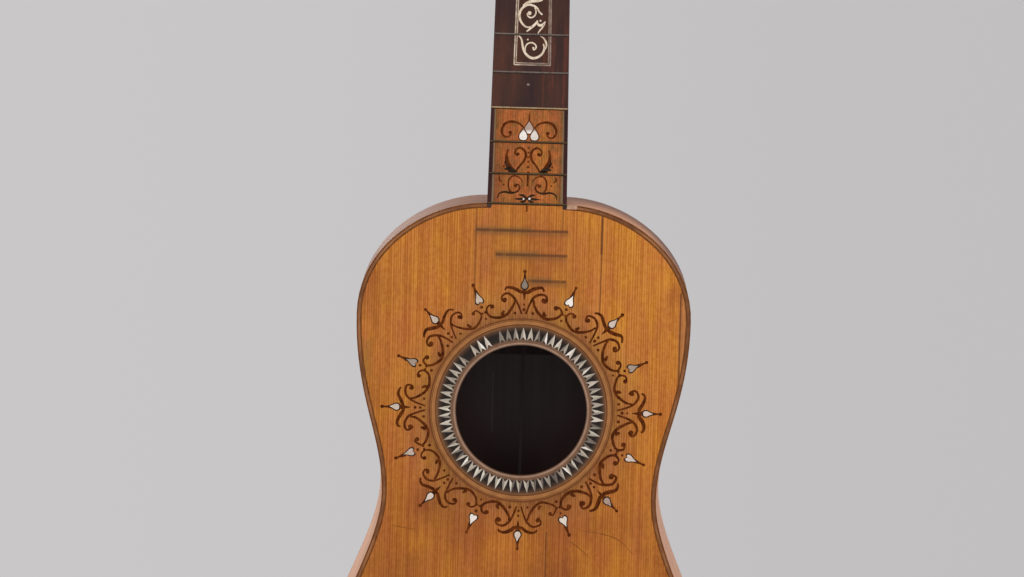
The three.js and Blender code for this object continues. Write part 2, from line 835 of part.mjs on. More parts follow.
function addBridge() {
  const front = -stringLength;
  const channelStart = front - bridgeSaddleWidth;
  const blockStart = channelStart - bridgeChannelWidth;
  const rear = front - bridgeBarWidth;
  const profile = [
    point2(front, 0),
    point2(front, -bridgeSaddleHeight),
    point2(channelStart, -bridgeSaddleHeight),
    point2(channelStart, -bridgeChannelHeight),
    point2(blockStart, -bridgeChannelHeight),
    point2(blockStart, -bridgeBarHeight),
    point2(rear, -bridgeBarHeight),
    point2(rear, 0),
  ];
  const half = bridgeBarLength / 2;
  const block = slab(profile, [], (point, side) =>
    new THREE.Vector3(side ? half : -half, point.y, point.x)
  );
  const overrun = bridgeSaddleWidth;
  const holes = stringPlaces(bridgeCourseSpread, bridgePairGap).map((x) =>
    crossPiece(
      circle(stringHoleRadius, x, -stringHoleHeight, stringHoleSides),
      rear - overrun,
      channelStart + overrun / 2
    )
  );
  add('bridge', cut(block, holes), ebony);

  const path = new THREE.Path();
  const root = half + fittingGap;
  const middle = front - bridgeBarWidth / 2;
  const at = ([lengthShare, heightShare]) => [
    root + moustacheLength * lengthShare,
    middle + moustacheHeight * heightShare,
  ];
  path.moveTo(root, middle - moustacheRootWidth / 2);
  for (const [leaving, arriving, end] of moustacheCurveShares) {
    path.bezierCurveTo(...at(leaving), ...at(arriving), ...at(end));
  }
  const [leaving, arriving] = moustacheRootHandleShares;
  path.bezierCurveTo(...at(leaving), ...at(arriving), root, middle + moustacheRootWidth / 2);
  const treble = path.getPoints(moustacheCurveSteps);
  const proud = level(-moustacheThickness);
  add('bridge_moustache_treble', plate(treble, [], proud, frontFace), ebony);
  add('bridge_moustache_bass', plate(mirrored(treble), [], proud, frontFace), ebony);
}

function addEndButton() {
  const profile = [
    [buttonShankRadius * buttonShankTipShare, buttonShankLength],
    [buttonShankRadius, 0],
    [buttonCollarRadius, -seam],
    ...buttonRingShares.map(([wide, high]) => [buttonRadius * wide, -buttonHeight * high]),
  ];
  const button = turned(profile, turnedSides);
  button.rotateX(Math.PI / 2);
  button.translate(0, buttonDepth, bodyBottom);
  add('end_button', button, ebony);
}

addSoundboard();
addRosette();
addFrontBinding();
addRibs();
addBack();
addBlocks();
addLinings();
addBars();
addNeck();
addNail();
addFingerboard();
addTongueBorders();
addFrets();
addNut();
addHead();
addBridge();
addEndButton();

export default guitar;
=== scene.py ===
"""An unstrung five-course guitar: camera, light, woods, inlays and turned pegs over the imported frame."""

import json
import math
import random

import bmesh
import bpy
from mathutils import Matrix, Quaternion, Vector
from mathutils.geometry import intersect_point_line


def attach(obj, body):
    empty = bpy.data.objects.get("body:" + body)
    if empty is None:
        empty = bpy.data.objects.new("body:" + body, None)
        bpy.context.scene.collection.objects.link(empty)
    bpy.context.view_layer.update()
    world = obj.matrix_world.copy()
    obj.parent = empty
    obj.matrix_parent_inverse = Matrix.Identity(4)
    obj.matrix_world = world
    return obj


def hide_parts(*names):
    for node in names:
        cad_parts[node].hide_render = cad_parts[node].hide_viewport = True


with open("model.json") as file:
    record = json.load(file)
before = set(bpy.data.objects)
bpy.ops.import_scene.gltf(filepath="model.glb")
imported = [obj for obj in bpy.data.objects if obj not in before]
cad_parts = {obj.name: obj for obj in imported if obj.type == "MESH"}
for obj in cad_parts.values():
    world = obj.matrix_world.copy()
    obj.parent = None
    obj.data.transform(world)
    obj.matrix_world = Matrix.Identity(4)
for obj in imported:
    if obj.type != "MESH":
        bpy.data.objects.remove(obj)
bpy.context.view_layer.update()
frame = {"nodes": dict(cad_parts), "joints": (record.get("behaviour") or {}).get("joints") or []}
scene = bpy.context.scene
mm = 0.001

# Sizes that the frame fixes, in metres
front_y = -12.5 * mm
nut_half_width = 20.75 * mm
body_half_width = 25 * mm
body_top_z = -317.5 * mm
board_end_z = -257.4 * mm
hole_centre = Vector((0, front_y, -447.5 * mm))
hole_radius = 41 * mm
mastic_inner = 43.9 * mm
mastic_outer = 52.9 * mm
ring_outer = 57.8 * mm


def painted(red, green, blue):
    """An sRGB colour of 0 to 255 as a linear colour"""
    def linear(level):
        share = level / 255
        return share / 12.92 if share <= 0.04045 else ((share + 0.055) / 1.055) ** 2.4
    return (linear(red), linear(green), linear(blue), 1)


def scaled(*lengths):
    """Lengths in millimetres as metres"""
    return [length * mm for length in lengths]


def add_object(name, data):
    made = bpy.data.objects.new(name, data)
    scene.collection.objects.link(made)
    return made


def add_mesh(name, mesh, material):
    """Turns a bmesh into an object of the scene"""
    data = bpy.data.meshes.new(name)
    mesh.to_mesh(data)
    mesh.free()
    data.materials.append(material)
    return add_object(name, data)


# Camera: it looks at sight_centre, and its view is sight_width wide there

sight_centre = Vector((-7.9 * mm, front_y, -370.9 * mm))
sight_distance = 5
sight_width = 0.6429
camera_side = math.radians(0.2)
camera_rise = math.radians(4.4)
camera_roll = math.radians(1.6)
sensor_width = 36
nearest_seen = 0.1
farthest_seen = 100


def add_camera():
    data = bpy.data.cameras.new("camera")
    data.sensor_width = sensor_width
    data.lens = sensor_width * sight_distance / sight_width
    data.clip_start = nearest_seen
    data.clip_end = farthest_seen
    camera = add_object("camera", data)
    scene.camera = camera
    level = math.cos(camera_rise)
    back = Vector((math.sin(camera_side) * level, -math.cos(camera_side) * level, math.sin(camera_rise)))
    camera.location = sight_centre + back * sight_distance
    camera.rotation_mode = "QUATERNION"
    turn = Quaternion((0, 0, 1), camera_roll)
    camera.rotation_quaternion = (-back).to_track_quat("-Z", "Y") @ turn


# Nodes

class Paint:
    """A node tree under way, and short calls that add to it. Plain colours are sRGB of 0 to 255, but
    linear in mix and ramp, and a share is a number or a socket."""

    def __init__(self, name, world=False):
        kind = bpy.data.worlds if world else bpy.data.materials
        self.made = kind.new(name)
        self.made.use_nodes = True
        self.tree = self.made.node_tree
        self.tree.nodes.clear()
        self.output = self.tree.nodes.new("ShaderNodeOutputWorld" if world else "ShaderNodeOutputMaterial")
        self.place = self.node("ShaderNodeTexCoord").outputs["Generated" if world else "Object"]
        self.x, self.y, self.z = self.parts(self.place)

    def node(self, kind, sources=(), **settings):
        """A new node; sources are values or sockets for its inputs, in order or by key"""
        made = self.tree.nodes.new(kind)
        for name, value in settings.items():
            setattr(made, name, value)
        pairs = sources.items() if isinstance(sources, dict) else enumerate(sources)
        for key, source in pairs:
            if isinstance(source, bpy.types.NodeSocket):
                self.tree.links.new(source, made.inputs[key])
            else:
                made.inputs[key].default_value = source
        return made

    def parts(self, vector):
        """The x, y and z of a vector"""
        return self.node("ShaderNodeSeparateXYZ", [vector]).outputs

    def normal(self):
        return self.node("ShaderNodeNewGeometry").outputs["Normal"]

    def calc(self, operation, *sources):
        return self.node("ShaderNodeMath", sources, operation=operation).outputs[0]

    def plus(self, first, second):
        return self.calc("ADD", first, second)

    def minus(self, first, second):
        return self.calc("SUBTRACT", first, second)

    def times(self, first, second):
        return self.calc("MULTIPLY", first, second)

    def gap(self, first, second):
        return self.calc("ABSOLUTE", self.minus(first, second))

    def vector(self, operation, *sources, output="Vector"):
        return self.node("ShaderNodeVectorMath", sources, operation=operation).outputs[output]

    def span(self, value, low, high, start=0, end=1):
        """start to end while value goes from low to high, held beyond both"""
        sources = [value, low, high, start, end]
        return self.node("ShaderNodeMapRange", sources, interpolation_type="SMOOTHSTEP").outputs[0]

    def noise(self, stretch, detail=3, roughness=0.5, warp=0):
        """Noise with stretch waves a metre along each axis"""
        sources = {"Vector": self.vector("MULTIPLY", self.place, stretch), "Scale": 1, "Detail": detail}
        sources.update({"Roughness": roughness, "Distortion": warp})
        return self.node("ShaderNodeTexNoise", sources).outputs["Fac"]

    def mix(self, share, first, second, kind="MIX"):
        sources = {0: share, 6: first, 7: second}
        return self.node("ShaderNodeMix", sources, data_type="RGBA", blend_type=kind).outputs[2]

    def between(self, share, first, second):
        """One of two plain colours, by share"""
        return self.mix(share, painted(*first), painted(*second))

    def cover(self, colour, share, other):
        """colour under a share of another, plain one"""
        return self.mix(share, colour, painted(*other))

    def ramp(self, value, stops):
        """Linear colours along value: stops is a list of (share, colour)"""
        made = self.node("ShaderNodeValToRGB", [value])
        elements = made.color_ramp.elements
        while len(elements) < len(stops):
            elements.new(0.5)
        for element, (share, colour) in zip(elements, stops):
            element.position = share
            element.color = colour
        return made.outputs[0]

    def colours(self, value, stops):
        """Colours along value: stops is a list of (share, colour)"""
        return self.ramp(value, [(share, painted(*colour)) for share, colour in stops])

    def factors(self, value, stops):
        return self.ramp(value, [(share, (*factors, 1)) for share, factors in stops])

    def tint(self, colour, factors, share=1):
        """colour times the same factors everywhere, by share"""
        return self.mix(share, colour, (*factors, 1), "MULTIPLY")

    def tinted(self, colour, value, stops):
        """colour times factors along value: stops is a list of (share, factors)"""
        return self.mix(1, colour, self.factors(value, stops), "MULTIPLY")

    def mark(self, x, z, half_width, half_height, soft, wander=None):
        """1 in a soft-edged upright rectangle on the front, 0 outside"""
        across = self.x if wander is None else self.plus(self.x, wander)
        side = self.minus(self.gap(across, x), half_width)
        rise = self.minus(self.gap(self.z, z), half_height)
        return self.span(self.calc("MAXIMUM", side, rise), -soft, soft, 1, 0)

    def radius(self, x, z):
        """Distance from (x, z) in the plane of the front"""
        flat = self.vector("MULTIPLY", self.place, (1, 0, 1))
        return self.vector("DISTANCE", flat, (x, 0, z), output="Value")

    def show(self, shader):
        self.tree.links.new(shader.outputs[0], self.output.inputs[0])
        return self.made

    def finish(self, colour, roughness, bump, metallic=0, coat=0, specular=0.5):
        """A surface with a shallow relief"""
        relief = self.node("ShaderNodeBump", {"Height": bump, "Distance": bump_depth, "Strength": 1})
        sources = {"Base Color": colour, "Roughness": roughness, "Metallic": metallic}
        sources.update({"Coat Weight": coat, "Specular IOR Level": specular, "Normal": relief.outputs[0]})
        return self.show(self.node("ShaderNodeBsdfPrincipled", sources))


bump_depth = 0.02 * mm

# Light

backdrop_left = painted(201, 199, 200)
backdrop_right = painted(193, 191, 192)
white = (1, 1, 1, 1)
# The backdrop's change of tone, as the x of the direction seen
gradient_half_width = 0.065
world_strength = 0.5


def seen_rays(paint):
    """1 for the rays that see the background: from the camera, a mirror or glass"""
    rays = paint.node("ShaderNodeLightPath").outputs
    mirrored_or_glass = paint.calc("MAXIMUM", rays["Is Glossy Ray"], rays["Is Transmission Ray"])
    return paint.calc("MAXIMUM", rays["Is Camera Ray"], mirrored_or_glass)


def add_world():
    paint = Paint("studio", world=True)
    share = paint.span(paint.x, -gradient_half_width, gradient_half_width)
    seen = paint.node("ShaderNodeBackground", [paint.mix(share, backdrop_left, backdrop_right), 1])
    light = paint.node("ShaderNodeBackground", [white, world_strength])
    sources = [seen_rays(paint), light.outputs[0], seen.outputs[0]]
    scene.world = paint.show(paint.node("ShaderNodeMixShader", sources))


# Square lamps: place and width in metres, and power in watts
lamp_aim = Vector((0, 0, -0.35))
lamps = {
    "key_lamp": (Vector((-1.7, -2.4, 0.9)), 1.6, 31),
    "fill_lamp": (Vector((1.9, -2.3, 0.5)), 1.8, 33),
    "back_lamp": (Vector((-1.5, 2.4, 0.9)), 1.8, 27),
}


def add_lamps():
    for name, (place, size, power) in lamps.items():
        data = bpy.data.lights.new(name, "AREA")
        data.size = size
        data.energy = power
        lamp = add_object(name, data)
        lamp.location = place
        lamp.rotation_mode = "QUATERNION"
        lamp.rotation_quaternion = (lamp_aim - place).to_track_quat("-Z", "Y")


floor_z = -762 * mm
floor_radius = 1.2
floor_clear_radius = 0.6
floor_sides = 96


def add_floor():
    """A pale round floor that fades into the backdrop"""
    mesh = bmesh.new()
    bmesh.ops.create_circle(mesh, cap_ends=True, segments=floor_sides, radius=floor_radius)
    paint = Paint("floor")
    distance = paint.vector("LENGTH", paint.place, output="Value")
    fading = paint.span(distance, floor_clear_radius, floor_radius)
    pale = paint.mix(paint.noise((9, 9, 9)), backdrop_left, backdrop_right)
    shade = paint.node("ShaderNodeBsdfDiffuse", [pale])
    clear = paint.node("ShaderNodeBsdfTransparent")
    sources = [fading, shade.outputs[0], clear.outputs[0]]
    floor = add_mesh("floor", mesh, paint.show(paint.node("ShaderNodeMixShader", sources)))
    floor.location.z = floor_z


# Spruce

grain_spacing = 1.45 * mm
grain_wander = 9 * mm
ring_strength = 0.3
streak_strength = 3
band_strength = 1.3
mottle_strength = 2
# Where the broad changes of tone come in, across (x) and up (z) the front
bright_x_span = (-20 * mm, 90 * mm)
bright_z_span = (-560 * mm, -400 * mm)
# The front is darker downwards over this span: painted shade, as the light falls off
falloff_shade_z_span = (-560 * mm, -360 * mm)
dull_x_span = (-80 * mm, -20 * mm)
dull_z_span = (-510 * mm, -470 * mm)
# The darker halo round the rosette, from its outer edge outwards: its first, darkest stops are a painted
# shadow line along the ring's edge, the rest a darker tint
halo_width = 28 * mm
ring_shadow_and_halo_stops = [
    (0, (0.42, 0.36, 0.45)), (0.03, (0.6, 0.67, 1.15)), (0.33, (0.84, 0.89, 1.35)),
    (0.57, (0.93, 0.98, 1.3)), (0.75, (0.98, 0.99, 1.12)), (1, (1, 1, 1)),
]
# Darker stains: across, up and spread in millimetres, and strength
stains = [
    (-53, -507, 22, 0.6), (-34, -526, 26, 0.5), (46, -520, 20, 0.35), (20, -560, 30, 0.25),
    (-80, -560, 30, 0.3),
]
stain_factors = (0.62, 0.55, 0.8)
# Marks are in millimetres, here and below: across, up, half width, half height and softness of the edge.
# A strength follows, and a colour.
handled_mark = (2, -345, 30, 20, 16)
handled_factors = (0.84, 0.8, 0.94)
cracks = [
    ((47.6, -336, 0.5, 12, 0.5), 0.85),
    ((47.6, -356, 0.35, 30.5, 0.5), 0.85),
    ((-31.5, -348, 0.3, 30, 0.5), 0.7),
    ((18, -640, 0.35, 116, 0.5), 0.8),
    ((98.3, -405, 0.6, 34, 0.5), 0.8),
    ((22.9, -327.5, 0.3, 6.5, 0.5), 0.6),
]
crack_wander = 0.7 * mm
waist_marks = [
    ((-98, -417, 2.5, 11, 3.5), 0.5, (128, 92, 44)),
    ((102, -400, 3, 40, 1), 0.4, (160, 110, 82)),
]
# Where lost frets were glued: across, up and half width in millimetres
glue_marks = [(-2.7, -334.4, 29), (3.7, -349.6, 22.4), (14, -365.9, 12)]
# The smear and the grime of a glue mark: shift and half width as shares of the mark's half width, then
# rise, half height and softness in millimetres, strength and colour
glue_layers = [
    (0, 1, -1.9, 1.4, 2, 0.5, (116, 76, 42)),
    (-0.4, 0.6, 0.6, 1.8, 1.6, 0.45, (96, 78, 42)),
]
# The worn line over them: half height and softness in millimetres, and strength
glue_line = (0.9, 0.6, 0.76)
tongue_half_width = 22 * mm
tongue_blend = 2 * mm
tongue_side_width = 6 * mm
pale_edge_span = (0.7 * mm, 1.1 * mm)
tongue_stops = [
    (0.36, (0.4, 0.46, 0.66)), (0.46, (0.62, 0.62, 0.86)), (0.54, (0.82, 0.68, 0.98)),
    (0.64, (0.98, 0.88, 1.5)),
]


def tongue_tone(paint, colour):
    """The tongue mottled and darker, more so at its sides, with a pale line at its borders"""
    clouds = paint.mix(0.5, paint.noise((170, 1, 120), 3, 0.7), paint.noise((420, 1, 260), 3, 0.7))
    tongue = paint.tinted(colour, clouds, tongue_stops)
    to_border = paint.minus(tongue_half_width, paint.calc("ABSOLUTE", paint.x))
    tongue = paint.tint(tongue, (0.56, 0.66, 0.84), paint.span(to_border, 0, tongue_side_width, 1, 0))
    tongue = paint.cover(tongue, paint.span(to_border, *pale_edge_span, 0.75, 0), (128, 110, 82))
    above = paint.span(paint.z, body_top_z - tongue_blend, body_top_z + tongue_blend)
    return paint.mix(above, colour, tongue)


def surface_marks(paint, colour):
    """Cracks, glue marks and marks at the waist"""
    wander = paint.times(paint.minus(paint.noise((30, 1, 40), 2), 0.5), crack_wander)
    for sizes, strength in cracks:
        colour = paint.cover(colour, paint.times(paint.mark(*scaled(*sizes), wander), strength), (92, 48, 22))
    worn = paint.span(paint.noise((120, 1, 260), 3), 0.2, 0.45)
    line_height, line_soft, line_strength = glue_line
    for across, up, half in glue_marks:
        for shift, width, rise, height, soft, strength, mark_colour in glue_layers:
            sizes = scaled(across + shift * half, up + rise, width * half, height, soft)
            colour = paint.cover(colour, paint.times(paint.mark(*sizes, wander), strength), mark_colour)
        line = paint.mark(*scaled(across, up, half, line_height, line_soft))
        colour = paint.cover(colour, paint.times(paint.times(line, worn), line_strength), (84, 48, 22))
    for sizes, strength, mark_colour in waist_marks:
        share = paint.times(paint.times(paint.mark(*scaled(*sizes)), worn), strength)
        colour = paint.cover(colour, share, mark_colour)
    return colour


def spruce_paint():
    """Varnished spruce: fine upright grain, darker below, a painted shade as the light falls off, and on the
    tongue, with a painted shadow line round the rosette's ring, glue marks and cracks
    """
    paint = Paint("varnished_spruce")
    drift = paint.minus(paint.noise((16, 1, 2.2), 2), 0.5)
    across = paint.plus(paint.x, paint.times(drift, grain_wander))
    rings = paint.calc("SINE", paint.times(across, 2 * math.pi / grain_spacing))
    streaks = paint.noise((900, 1, 7), 2, 0.6)
    bands = paint.noise((300, 1, 12), 2, 0.6)
    mottle = paint.noise((420, 1, 300), 3, 0.7)
    value = paint.plus(0.5, paint.times(rings, ring_strength))
    for figure, strength in ((streaks, streak_strength), (bands, band_strength), (mottle, mottle_strength)):
        value = paint.plus(value, paint.times(paint.minus(figure, 0.5), strength))
    zones = paint.mix(0.45, paint.noise((55, 1, 24), 3, 0.6), paint.noise((140, 1, 34), 3, 0.6))
    colour = paint.colours(zones, [(0.38, (176, 101, 46)), (0.5, (181, 109, 43)), (0.62, (188, 119, 39))])
    colour = paint.tinted(colour, value, [(0, (0.82, 0.72, 0.4)), (0.5, (1, 1, 1)), (1, (1.18, 1.28, 1.6))])
    clouds = paint.noise((24, 1, 16), 4, 0.65, 0.6)
    blotches = [(0.3, (0.8, 0.74, 0.72)), (0.46, (1, 1, 1)), (0.7, (1.07, 1.06, 0.98))]
    colour = paint.tinted(colour, clouds, blotches)
    bright = paint.times(paint.span(paint.x, *bright_x_span), paint.span(paint.z, *bright_z_span, 0.2, 1))
    colour = paint.tint(colour, (1.1, 1.13, 1.04), bright)
    # Painted shade: darker towards the bottom, as if the light fell off there
    colour = paint.tint(colour, (0.86, 0.8, 0.74), paint.span(paint.z, *falloff_shade_z_span, 1, 0))
    colour = paint.tint(colour, (1.05, 1.05, 0.87))
    dull = paint.times(paint.span(paint.x, *dull_x_span, 1, 0), paint.span(paint.z, *dull_z_span, 1, 0))
    colour = paint.tint(colour, (0.95, 0.93, 0.9), dull)
    # Painted shadow along the ring's edge, then the darker halo
    from_ring = paint.minus(paint.radius(hole_centre.x, hole_centre.z), ring_outer)
    colour = paint.tinted(colour, paint.calc("DIVIDE", from_ring, halo_width), ring_shadow_and_halo_stops)
    for *sizes, strength in stains:
        x, z, spread = scaled(*sizes)
        share = paint.times(paint.span(paint.radius(x, z), 0, spread, 1, 0), strength)
        colour = paint.tint(colour, stain_factors, share)
    colour = paint.tint(colour, handled_factors, paint.mark(*scaled(*handled_mark)))
    colour = surface_marks(paint, tongue_tone(paint, colour))
    return paint.finish(colour, paint.span(streaks, 0, 1, 0.44, 0.56), streaks, specular=0.25)


# Other woods

rib_depth_span = (-10 * mm, 60 * mm)
shoulder_span = (-350 * mm, -332 * mm)
side_to_side_span = (-30 * mm, 30 * mm)
waist_span = (-490 * mm, -390 * mm)
lit_hole_top_span = (-430 * mm, -412 * mm)
body_middle = (0, 27 * mm, -530 * mm)
facing_blend = 1 * mm
# Broad streaks have fewer waves a metre than the fine ones
broad_grain_ratio = 9
least_broad_waves = 4
inner_scratch_mark = (-18.6, -450, 0.1, 19, 0.7)


def wood_paint(name, dark, middle, light, stretch, roughness, specular=0.25):
    """Wood with streaks; stretch is high across the grain and low along it"""
    paint = Paint(name)
    streaks = paint.span(paint.noise(stretch, 4, 0.6), 0.3, 0.7)
    broad = paint.noise([max(least_broad_waves, waves / broad_grain_ratio) for waves in stretch], 2)
    grain = paint.mix(0.35, streaks, broad)
    colour = paint.colours(grain, [(0.08, dark), (0.5, middle), (0.92, light)])
    rough = paint.span(grain, 0, 1, roughness + 0.08, roughness - 0.06)
    return paint.finish(colour, rough, grain, specular=specular)


def rib_paint(name, roughness, specular):
    """The ribs and the back: brown wood, its grain along the ribs and up the back, with painted light and
    shade on the ribs, and dark inside the body, partly a painted shade, with painted light under the hole's
    top
    """
    paint = Paint(name)
    facing = paint.normal()
    on_back = paint.span(paint.calc("ABSOLUTE", paint.parts(facing)[1]), 0.6, 0.8)
    along_rib = paint.noise((7, 420, 7), 4, 0.6)
    along_back = paint.noise((420, 7, 7), 4, 0.6)
    streaks = paint.span(paint.mix(on_back, along_rib, along_back), 0.3, 0.7)
    grain = paint.mix(0.3, streaks, paint.noise((26, 20, 70), 2))
    back_grain = paint.mix(0.4, grain, paint.noise((900, 60, 60), 3, 0.7))
    back_colour = paint.colours(back_grain, [(0.2, (138, 86, 58)), (0.8, (182, 124, 90))])
    # Painted light on the ribs: a painted highlight near the front edge that fades to painted shade towards
    # the back, lighter near the shoulder, and lit and shaded copies of the colour for the bass and treble
    # sides above and below the waist
    depth = paint.span(paint.y, *rib_depth_span)
    to_treble = paint.span(paint.x, *side_to_side_span)
    shoulder = paint.span(paint.z, *shoulder_span)
    lit_upper_front = paint.between(shoulder, (172, 112, 76), (226, 154, 108))
    shaded_upper_back = paint.between(shoulder, (112, 66, 42), (138, 88, 62))
    upper_bass = paint.between(depth, (158, 104, 72), (158, 104, 74))
    upper = paint.mix(to_treble, upper_bass, paint.mix(depth, lit_upper_front, shaded_upper_back))
    lower_bass = paint.between(depth, (212, 156, 118), (222, 164, 128))
    lower_treble = paint.between(depth, (222, 162, 126), (226, 168, 134))
    lower = paint.mix(to_treble, lower_bass, lower_treble)
    side_colour = paint.mix(paint.span(paint.z, *waist_span), lower, upper)
    side_colour = paint.tinted(side_colour, grain, [(0.1, (0.72, 0.7, 0.68)), (0.9, (1.2, 1.22, 1.25))])
    colour = paint.mix(on_back, side_colour, back_colour)
    outward = paint.vector("SUBTRACT", paint.place, body_middle)
    facing_out = paint.vector("DOT_PRODUCT", outward, facing, output="Value")
    outside = paint.span(facing_out, -facing_blend, facing_blend)
    # Inside the body: dark, aged wood and partly a painted shade, and paler near the hole's top, painted
    # light that makes up for the shade there
    inner = paint.between(paint.span(paint.z, *lit_hole_top_span), (58, 38, 36), (64, 44, 42))
    inner = paint.cover(inner, paint.mark(*scaled(*inner_scratch_mark)), (94, 82, 81))
    rough = paint.span(grain, 0, 1, roughness + 0.05, roughness - 0.05)
    return paint.finish(paint.mix(outside, inner, colour), rough, grain, specular=specular)


def centre_strip_paint():
    """The strip between the back's halves: dark outside, and painted paler where it shows through the
    soundhole, painted light that makes up for the shade of its recess
    """
    paint = Paint("centre_strip")
    streaks = paint.noise((60, 60, 60), 4, 0.6)
    outer = paint.colours(streaks, [(0.35, (54, 44, 42)), (0.65, (78, 62, 58))])
    # Painted light: the inner face paler, to make up for the shade in the strip's recess
    lit_inward = paint.span(paint.parts(paint.normal())[1], -0.5, 0.5, 1, 0)
    return paint.finish(paint.cover(outer, lit_inward, (86, 74, 74)), 0.7, streaks, specular=0.1)


red_side_span = (4 * mm, 14 * mm)
red_rise_span = (-215 * mm, -195 * mm)
fleck_mark = (-1.3, -242.5, 0.6, 0.5, 0.5)
panel_blend = 0.2 * mm


def board_paint():
    """The fingerboard: redder streaks low on the treble side, a pale fleck, and a browner panel"""
    paint = Paint("board_wood")
    broad = paint.noise((70, 70, 14), 3, 0.6)
    colour = paint.colours(broad, [(0.32, (48, 26, 27)), (0.5, (62, 35, 28)), (0.68, (78, 44, 31))])
    streaks = paint.noise((520, 520, 12), 3, 0.65)
    redness = paint.times(paint.span(paint.x, *red_side_span), paint.span(paint.z, *red_rise_span, 1, 0))
    colour = paint.cover(colour, paint.times(redness, paint.span(streaks, 0.48, 0.6, 0, 0.5)), (104, 50, 34))
    grain = paint.mix(0.5, streaks, paint.noise((240, 240, 150), 3, 0.7))
    grain_stops = [(0.3, (0.7, 0.7, 0.7)), (0.5, (0.95, 0.95, 0.95)), (0.7, (1.3, 1.22, 1.2))]
    colour = paint.tinted(colour, grain, grain_stops)
    colour = paint.cover(colour, paint.mark(*scaled(*fleck_mark)), (158, 138, 130))
    half_width = paint.plus(paint.times(paint.z, board_spread), panel_half_width(0))
    to_side = paint.minus(half_width, paint.gap(paint.x, panel_shift))
    to_frame = paint.calc("MINIMUM", to_side, paint.minus(paint.z, panel_bottom_z))
    inside = paint.span(to_frame, 0, panel_blend)
    colour = paint.tint(colour, (1.2, 1.1, 0.78), inside)
    between_lines = paint.span(to_frame, panel_line_gap, panel_line_gap + panel_blend, 0.75, 0)
    colour = paint.cover(colour, paint.times(inside, between_lines), (116, 92, 78))
    return paint.finish(colour, paint.span(grain, 0.3, 0.7, 0.52, 0.44), grain, specular=0.25)


worn_edge_width = 0.5 * mm


def tongue_border_paint():
    """The dark strips beside the tongue, with a paler worn line along the inner edge"""
    paint = Paint("tongue_border")
    streaks = paint.noise((300, 300, 14), 3, 0.6)
    colour = paint.colours(streaks, [(0.3, (42, 20, 20)), (0.7, (72, 36, 32))])
    to_edge = paint.minus(paint.calc("ABSOLUTE", paint.x), tongue_half_width)
    worn = paint.times(paint.span(to_edge, 0, worn_edge_width, 0.6, 0), paint.span(streaks, 0.35, 0.55))
    return paint.finish(paint.cover(colour, worn, (96, 78, 62)), 0.55, streaks, specular=0.15)


# The rosette's rings: inner and outer radius, and (radius in millimetres, colour) from inside outwards
rings = {
    "rosette_edge": (
        hole_radius,
        mastic_inner,
        [
            (41, (64, 44, 34)), (41.4, (110, 82, 64)), (41.9, (164, 131, 109)), (42.5, (164, 131, 109)),
            (42.9, (120, 86, 64)), (43.9, (122, 88, 66)),
        ],
    ),
    "rosette_mastic": (
        mastic_inner,
        mastic_outer,
        [
            (43.9, (118, 86, 64)), (44.5, (96, 68, 50)), (45.4, (40, 30, 25)), (49.4, (30, 22, 19)),
            (51, (64, 45, 32)), (52, (84, 57, 38)), (52.9, (114, 78, 52)),
        ],
    ),
    "rosette_wood": (
        mastic_outer,
        ring_outer,
        [
            (52.9, (120, 78, 44)), (53.4, (127, 82, 45)), (53.8, (98, 54, 22)), (54.1, (98, 54, 22)),
            (54.5, (170, 114, 64)), (55, (170, 114, 64)), (55.3, (150, 96, 54)), (55.6, (170, 114, 64)),
            (56.2, (170, 114, 64)), (56.5, (98, 54, 22)), (56.8, (150, 94, 44)), (57.1, (150, 94, 44)),
            (57.4, (98, 54, 22)),
        ],
    ),
}


def ring_paint(name):
    """A ring of the rosette, coloured by the distance from the hole's centre"""
    paint = Paint(name)
    start, end, stops = rings[name]
    from_start = paint.minus(paint.radius(hole_centre.x, hole_centre.z), start)
    share = paint.calc("DIVIDE", from_start, end - start)
    stop_shares = [((radius * mm - start) / (end - start), colour) for radius, colour in stops]
    colour = paint.colours(share, stop_shares)
    clouds = paint.noise((160, 160, 160), 3)
    patches = paint.factors(clouds, [(0.3, (0.8, 0.78, 0.76)), (0.7, (1.1, 1.1, 1.1))])
    return paint.finish(paint.mix(1, colour, patches, "MULTIPLY"), 0.5, patches, specular=0.2)


# Drops of the rosette that are duller or brighter than the rest: across and up in millimetres, and colour
rosette_pearl_spots = [
    (0, -368, (138, 122, 106)), (29.1, -377.2, (250, 240, 230)), (69.1, -419, (166, 148, 132)),
    (-69.1, -419, (166, 148, 132)), (54.8, -502.8, (178, 148, 134)), (69, -477, (216, 198, 184)),
]
# Half width, half height and softness of such a spot, in millimetres
pearl_spot_sizes = (4, 5, 0.5)
pearl_grey_blend = 1 * mm
pearl_stops = {
    "pearl": [(0, (166, 146, 132)), (0.3, (206, 186, 170)), (0.7, (232, 216, 202)), (1, (252, 246, 238))],
    "arrow_pearl": [
        (0, (96, 84, 74)), (0.25, (142, 130, 116)), (0.6, (190, 178, 160)), (0.88, (222, 212, 196)),
        (1, (255, 252, 244)),
    ],
    "tongue_pearl": [(0, (226, 214, 202)), (1, (248, 240, 232))],
}
tongue_pearl_grey_z = -271.5 * mm


